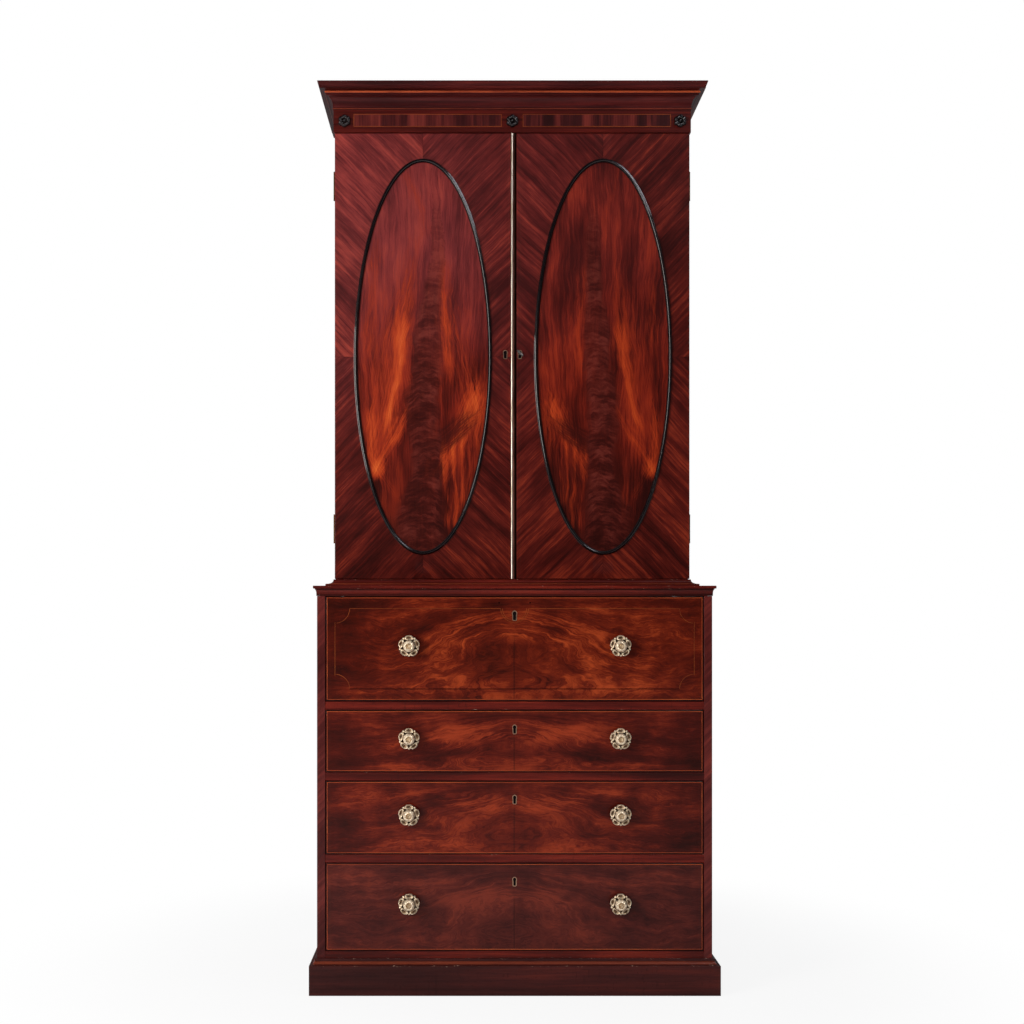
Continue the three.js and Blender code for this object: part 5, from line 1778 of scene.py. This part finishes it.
@dataclass
class Doors:
    """The two cupboard doors with their veneers, ovals, beads, brass strip, keyholes and key."""

    palette: Palette
    steps: int = 192
    play: float = 0.00025
    pocket: float = 0.006
    ease: float = 0.0012
    bead_half: float = 0.005
    bead_proud: float = 0.006
    keyhole_height: float = 1.598
    leaf_play: float = 0.0003
    screw_radius: float = 0.0024
    screw_step: float = 0.027
    slot_half: float = 0.0003

    def build(self) -> None:
        """Dresses both doors, their hinges and the key."""
        self.door("left", -0.0178, 2.0, 1.0, 1.0, 0.56)
        self.door("right", 0.01975, 5.0, -1.0, 0.25, 0.38)
        self.strip()
        repaint("door_key", self.palette.steel)
        for side, place, leaf in product(SIDES, ("lower", "upper"), ("case", "door")):
            node = f"{side}_{place}_hinge_{leaf}_leaf"
            repaint(node, self.palette.hinge_brass)
            self.screws(node, "case" if leaf == "case" else f"{side}_door", leaf == "case")

    def screws(self, node: str, body: str, forward: bool) -> None:
        """Lets three slotted screws into the inner face of a hinge leaf.

        Each head is two halves of a disc, a slot apart, that stand a little proud of the leaf.

        Args:
            node: the leaf.
            body: the body that carries it.
            forward: whether its inner face looks to the front.
        """
        low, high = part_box(node)
        middle = (low + high) / 2
        side, towards = math.copysign(1.0, middle.x), -1.0 if forward else 1.0
        face = middle.y - towards * self.leaf_play / 2
        opening = math.degrees(math.asin(self.slot_half / self.screw_radius))
        halves = []
        for step, (away, tilt) in zip((-1, 0, 1), ((6.6, 20.0), (10.4, -35.0), (6.6, 65.0))):
            x = (min(abs(low.x), abs(high.x)) + away * MM) * side
            for start in (tilt, tilt + 180.0):
                flat = arc(x, middle.z + step * self.screw_step, self.screw_radius, start + opening,
                           start + 180.0 - opening)
                halves.append(np.stack([stood(flat, face - towards * 0.0003),
                                        stood(flat, face + towards * 0.00007)]))
        dress(skins(node.replace("_leaf", "_screws"), halves), body, "key_steel", self.palette.steel)

    def door(self, side: str, keyhole: float, seed: float, flip: float, painted_sheen: float, glow: float) -> None:
        """One door: board with an oval pocket, flame panel, bead and keyhole.

        Args:
            side: left or right.
            keyhole: how far the keyhole stands from the middle of the case.
            seed: which stripes the veneer of the board has.
            flip: which way along X the meeting edge lies from the oval, 1 or -1.
            painted_sheen: how pale the head of the flame panel is, as painted sheen.
            glow: how bright its flames are.
        """
        body = f"{side}_door"
        low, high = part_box(f"{body}_board")
        panel_low, panel_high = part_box(f"{body}_oval_panel")
        middle = (panel_low + panel_high) / 2
        half = (panel_high - panel_low) / 2
        oval = np.array([half.x + self.play, half.z + self.play])
        board = self.board(f"{body}_veneered_board", low, high, middle, oval)
        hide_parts(f"{body}_board")
        veneer = Quartered(f"{body}_quartered_veneer", middle.x, middle.z, seed)
        dress(board, body, "striped_veneer", self.palette.board_z, veneer.build(),
              self.palette.inside, front=1, back=2)
        flame = OvalFlame(f"{body}_flame_veneer", middle.x, middle.z, flip, painted_sheen, glow)
        self.panel(body, middle, oval, panel_low.y, flame.build())
        self.bead(body, middle, oval, low.y)
        Keyhole(self.palette, 0.023, 0.0125).build(body, body, keyhole, self.keyhole_height, low.y)

    def board(self, name: str, low: object, high: object, middle: object,
              oval: np.ndarray) -> bpy.types.Object:
        """A board as a skin that starts in the middle of the pocket's floor.

        Rings run outwards over the floor, up the oval's wall, out to the rounded edges of the
        front and round to the middle of the back. A ring on the rectangle has its points where
        rays at even angles, stretched to the board's shape, meet it.

        Args:
            name: the piece's name.
            low, high: the corners of the board.
            middle: the middle of the oval.
            oval: its half width and half height.

        Returns:
            The object.
        """
        t = angles(self.steps)
        reach = 1 / np.maximum(abs(np.cos(t)), abs(np.sin(t)))
        square = np.stack([reach * np.cos(t), reach * np.sin(t)], axis=-1)
        centre = np.array([(low.x + high.x) / 2, (low.z + high.z) / 2])
        half = np.array([(high.x - low.x) / 2, (high.z - low.z) / 2])
        pocket_centre = np.array([middle.x, middle.z])
        pocket = pocket_centre + ellipse(oval[0], oval[1], self.steps)
        front, back, floor, ease = low.y, high.y, low.y + self.pocket, self.ease
        turn = np.linspace(0, math.pi / 2, 4)
        rings = [(pocket_centre + (pocket - pocket_centre) * 0.9, floor), (pocket, floor), (pocket, front)]
        rings += [(centre + square * (half - ease * (1 - math.sin(a))), front + ease * (1 - math.cos(a)))
                  for a in turn]
        rings += [(centre + square * (half - ease * (1 - math.cos(a))), back - ease * (1 - math.sin(a)))
                  for a in turn]
        return skin(name, np.array([stood(flat, y) for flat, y in rings]), smooth=30.0)

    def panel(self, body: str, middle: object, oval: np.ndarray, face: float,
              flame: bpy.types.Material) -> None:
        """The flame panel: an oval plate set just under the face of the door.

        Args:
            body: the body that carries it.
            middle: the middle of the oval.
            oval: its half width and half height.
            face: where its face stands.
            flame: its material.
        """
        inset = np.array([0.0020, 0.0004, 0.00025, 0.00025])
        flat = ellipse(oval[0] - inset, oval[1] - inset, self.steps)
        ys = face + np.array([0.0, 0.0001, 0.0004, 0.005])
        made = skin(f"{body}_flame_panel", stood(flat + (middle.x, middle.z), ys[:, None]))
        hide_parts(f"{body}_oval_panel")
        dress(made, body, "flame_veneer", flame)

    def bead(self, body: str, middle: object, oval: np.ndarray, face: float) -> None:
        """The ebonised bead: a moulded section carried round the oval, square to its line.

        Args:
            body: the body that carries it.
            middle: the middle of the oval.
            oval: its half width and half height.
            face: where the face of the door stands.
        """
        share = np.array([[-1, 0], [-0.97, 0.3], [-0.85, 0.42], [-0.7, 0.4], [-0.6, 0.62], [-0.42, 0.86],
                          [-0.15, 0.99], [0.1, 1.0], [0.4, 0.92], [0.62, 0.74], [0.78, 0.5],
                          [0.84, 0.3], [0.97, 0.26], [1, 0]])
        t = angles(256)
        line = np.stack([oval[0] * np.cos(t), oval[1] * np.sin(t)], axis=-1)
        across = np.stack([np.cos(t) / oval[0], np.sin(t) / oval[1]], axis=-1)
        across /= np.linalg.norm(across, axis=1, keepdims=True)
        spread = line[:, None] + across[:, None] * (share[:, 0] * self.bead_half)[None, :, None]
        depth = face - self.play - share[:, 1] * self.bead_proud
        rings = stood(spread + (middle.x, middle.z), depth)
        made = skin(f"{body}_oval_moulding", rings, meets=True, smooth=50.0)
        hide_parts(f"{body}_oval_bead")
        dress(made, body, "ebonised_wood", self.palette.ebonised)

    def strip(self) -> None:
        """The brass strip on the meeting edge: a round bead beside a lower fillet."""
        low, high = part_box("door_astragal")
        left, right = low.x / MM, high.x / MM
        front, back = low.y / MM, high.y / MM
        turn = left + 4.6
        bead = half_round((front + 1.2, left), (front + 1.2, turn), -1.2, 10)
        section = section_of((back, left), bead, (front + 1.9, turn + 0.2), (front + 1.5, turn + 0.8),
                             (front + 1.4, right - 0.6), (front + 1.9, right), (back, right))
        rings = np.stack([np.stack([section[:, 1], section[:, 0], np.full(len(section), z)], -1)
                          for z in (low.z, high.z)])
        made = skin("door_brass_strip", rings, smooth=40.0)
        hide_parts("door_astragal")
        dress(made, "left_door", "cast_brass", StripMetal("door_strip_brass", turn * MM).build())


@dataclass
class Studio:
    """A pale floor, soft lights and the photograph's viewpoint."""

    floor_half: float = 14.0
    floor_level: float = -0.0005
    focal: float = 48.8
    shift_x: float = 0.0449
    shift_y: float = 0.0859
    viewpoint: tuple[float, float, float] = (-0.119, -3.646, 0.965)

    def build(self) -> None:
        """Makes the floor, the lights, the world and the camera."""
        self.floor()
        self.light("window", (-2.6, -2.5, 1.75), (0.0, 0.0, 1.2), 1.3, 88.0, (1.0, 0.96, 0.92))
        sky = self.light("sky", (1.9, -2.0, 3.9), (0.0, 0.0, 1.6), 1.2, 80.0, (0.92, 0.92, 1.0))
        sky.visible_diffuse = False
        fill = self.light("front_fill", (-0.9, -4.6, 2.9), (0.0, 0.0, 1.3), 1.4, 34.0, (0.94, 0.95, 1.0))
        fill.visible_glossy = False
        self.world()
        self.camera()

    def floor(self) -> None:
        """A plain pale floor, white to the camera further out, that keeps the object's shadow."""
        corners = [(x * self.floor_half, y * self.floor_half, self.floor_level)
                   for x, y in ((-1, -1), (1, -1), (1, 1), (-1, 1))]
        mesh = bpy.data.meshes.new("floor")
        mesh.from_pydata(corners, [], [(0, 1, 2, 3)])
        shader = Shader("pale_floor")
        x, y, z = shader.place()
        mottle = shader.noise(x * 3.0, y * 3.0, z, 3.0, 0.5)
        pale = shader.mix(mottle, (0.84, 0.84, 0.84), (0.88, 0.88, 0.88))
        matt = shader.node("ShaderNodeBsdfDiffuse", inputs={"Color": pale})
        white = shader.node("ShaderNodeEmission", inputs={"Color": (1.0, 1.0, 1.0), "Strength": 1.0})
        seen = shader.node("ShaderNodeLightPath", output="Is Camera Ray")
        away = (x * x + y * y) ** 0.5
        share = seen * (away.step(0.7, 1.5) * 0.12 + 0.88)
        mixed = shader.node("ShaderNodeMixShader", inputs={0: share, 1: matt, 2: white})
        mesh.materials.append(shader.close(mixed))
        linked("floor", mesh)

    def light(self, name: str, place: tuple, target: tuple, size: float, power: float,
              colour: Colour) -> bpy.types.Object:
        """A square soft light at a place, turned to a target.

        Args:
            name: its name.
            place: where it hangs.
            target: where it points.
            size: its side in metres.
            power: its power in watts.
            colour: its colour.

        Returns:
            The lamp, linked to the scene.
        """
        lamp = bpy.data.lights.new(name, "AREA")
        lamp.size = size
        lamp.energy = power
        lamp.color = colour
        made = linked(name, lamp)
        made.location = place
        aim = np.array(target) - np.array(place)
        made.rotation_euler = (math.atan2(math.hypot(aim[0], aim[1]), -aim[2]), 0.0,
                               math.atan2(aim[1], aim[0]) - math.pi / 2)
        return made

    def world(self) -> None:
        """White behind the object; for light, pale all round but dim behind the camera.

        The dim part keeps the polish from mirroring a white wall straight at the camera, and
        reflections see less than a third of the light, so that black polish stays black.
        """
        shader = Shader("studio", world=True)
        way = shader.node("ShaderNodeTexCoord", output="Generated")
        depth = shader.node("ShaderNodeSeparateXYZ", inputs={0: way}, output="Y")
        pale = shader.node("ShaderNodeMapRange", {"interpolation_type": "SMOOTHSTEP"},
                           {"Value": depth, "From Min": -0.9, "From Max": -0.25, "To Min": 0.05,
                            "To Max": 0.55})
        mirrored = shader.node("ShaderNodeLightPath", output="Is Glossy Ray")
        light = shader.node("ShaderNodeBackground", inputs={"Color": (0.95, 0.97, 1.0),
                                                            "Strength": pale * (1.0 - mirrored * 0.7)})
        white = shader.node("ShaderNodeBackground", inputs={"Color": (1.0, 1.0, 1.0)})
        seen = shader.node("ShaderNodeLightPath", output="Is Camera Ray")
        bpy.context.scene.world = shader.close(
            shader.node("ShaderNodeMixShader", inputs={0: seen, 1: light, 2: white}))

    def camera(self) -> None:
        """The photograph's viewpoint: level, a little left of the middle, with a small shift."""
        data = bpy.data.cameras.new("photograph")
        data.sensor_width = 36.0
        data.lens = self.focal
        data.shift_x = self.shift_x
        data.shift_y = self.shift_y
        made = linked("photograph", data)
        made.location = self.viewpoint
        made.rotation_euler = (math.pi / 2, 0.0, 0.0)
        bpy.context.scene.camera = made
        bpy.context.scene.view_settings.view_transform = "Standard"


def main() -> None:
    """Builds every piece in order."""
    logging.basicConfig(level=logging.INFO)
    palette = Palette()
    Studio().build()
    CaseBoards(palette).build()
    Mouldings(palette).build()
    Frieze(palette).build()
    Drawers(palette).build()
    Secretaire(palette).build()
    Doors(palette).build()


if __name__ == "__main__":
    main()
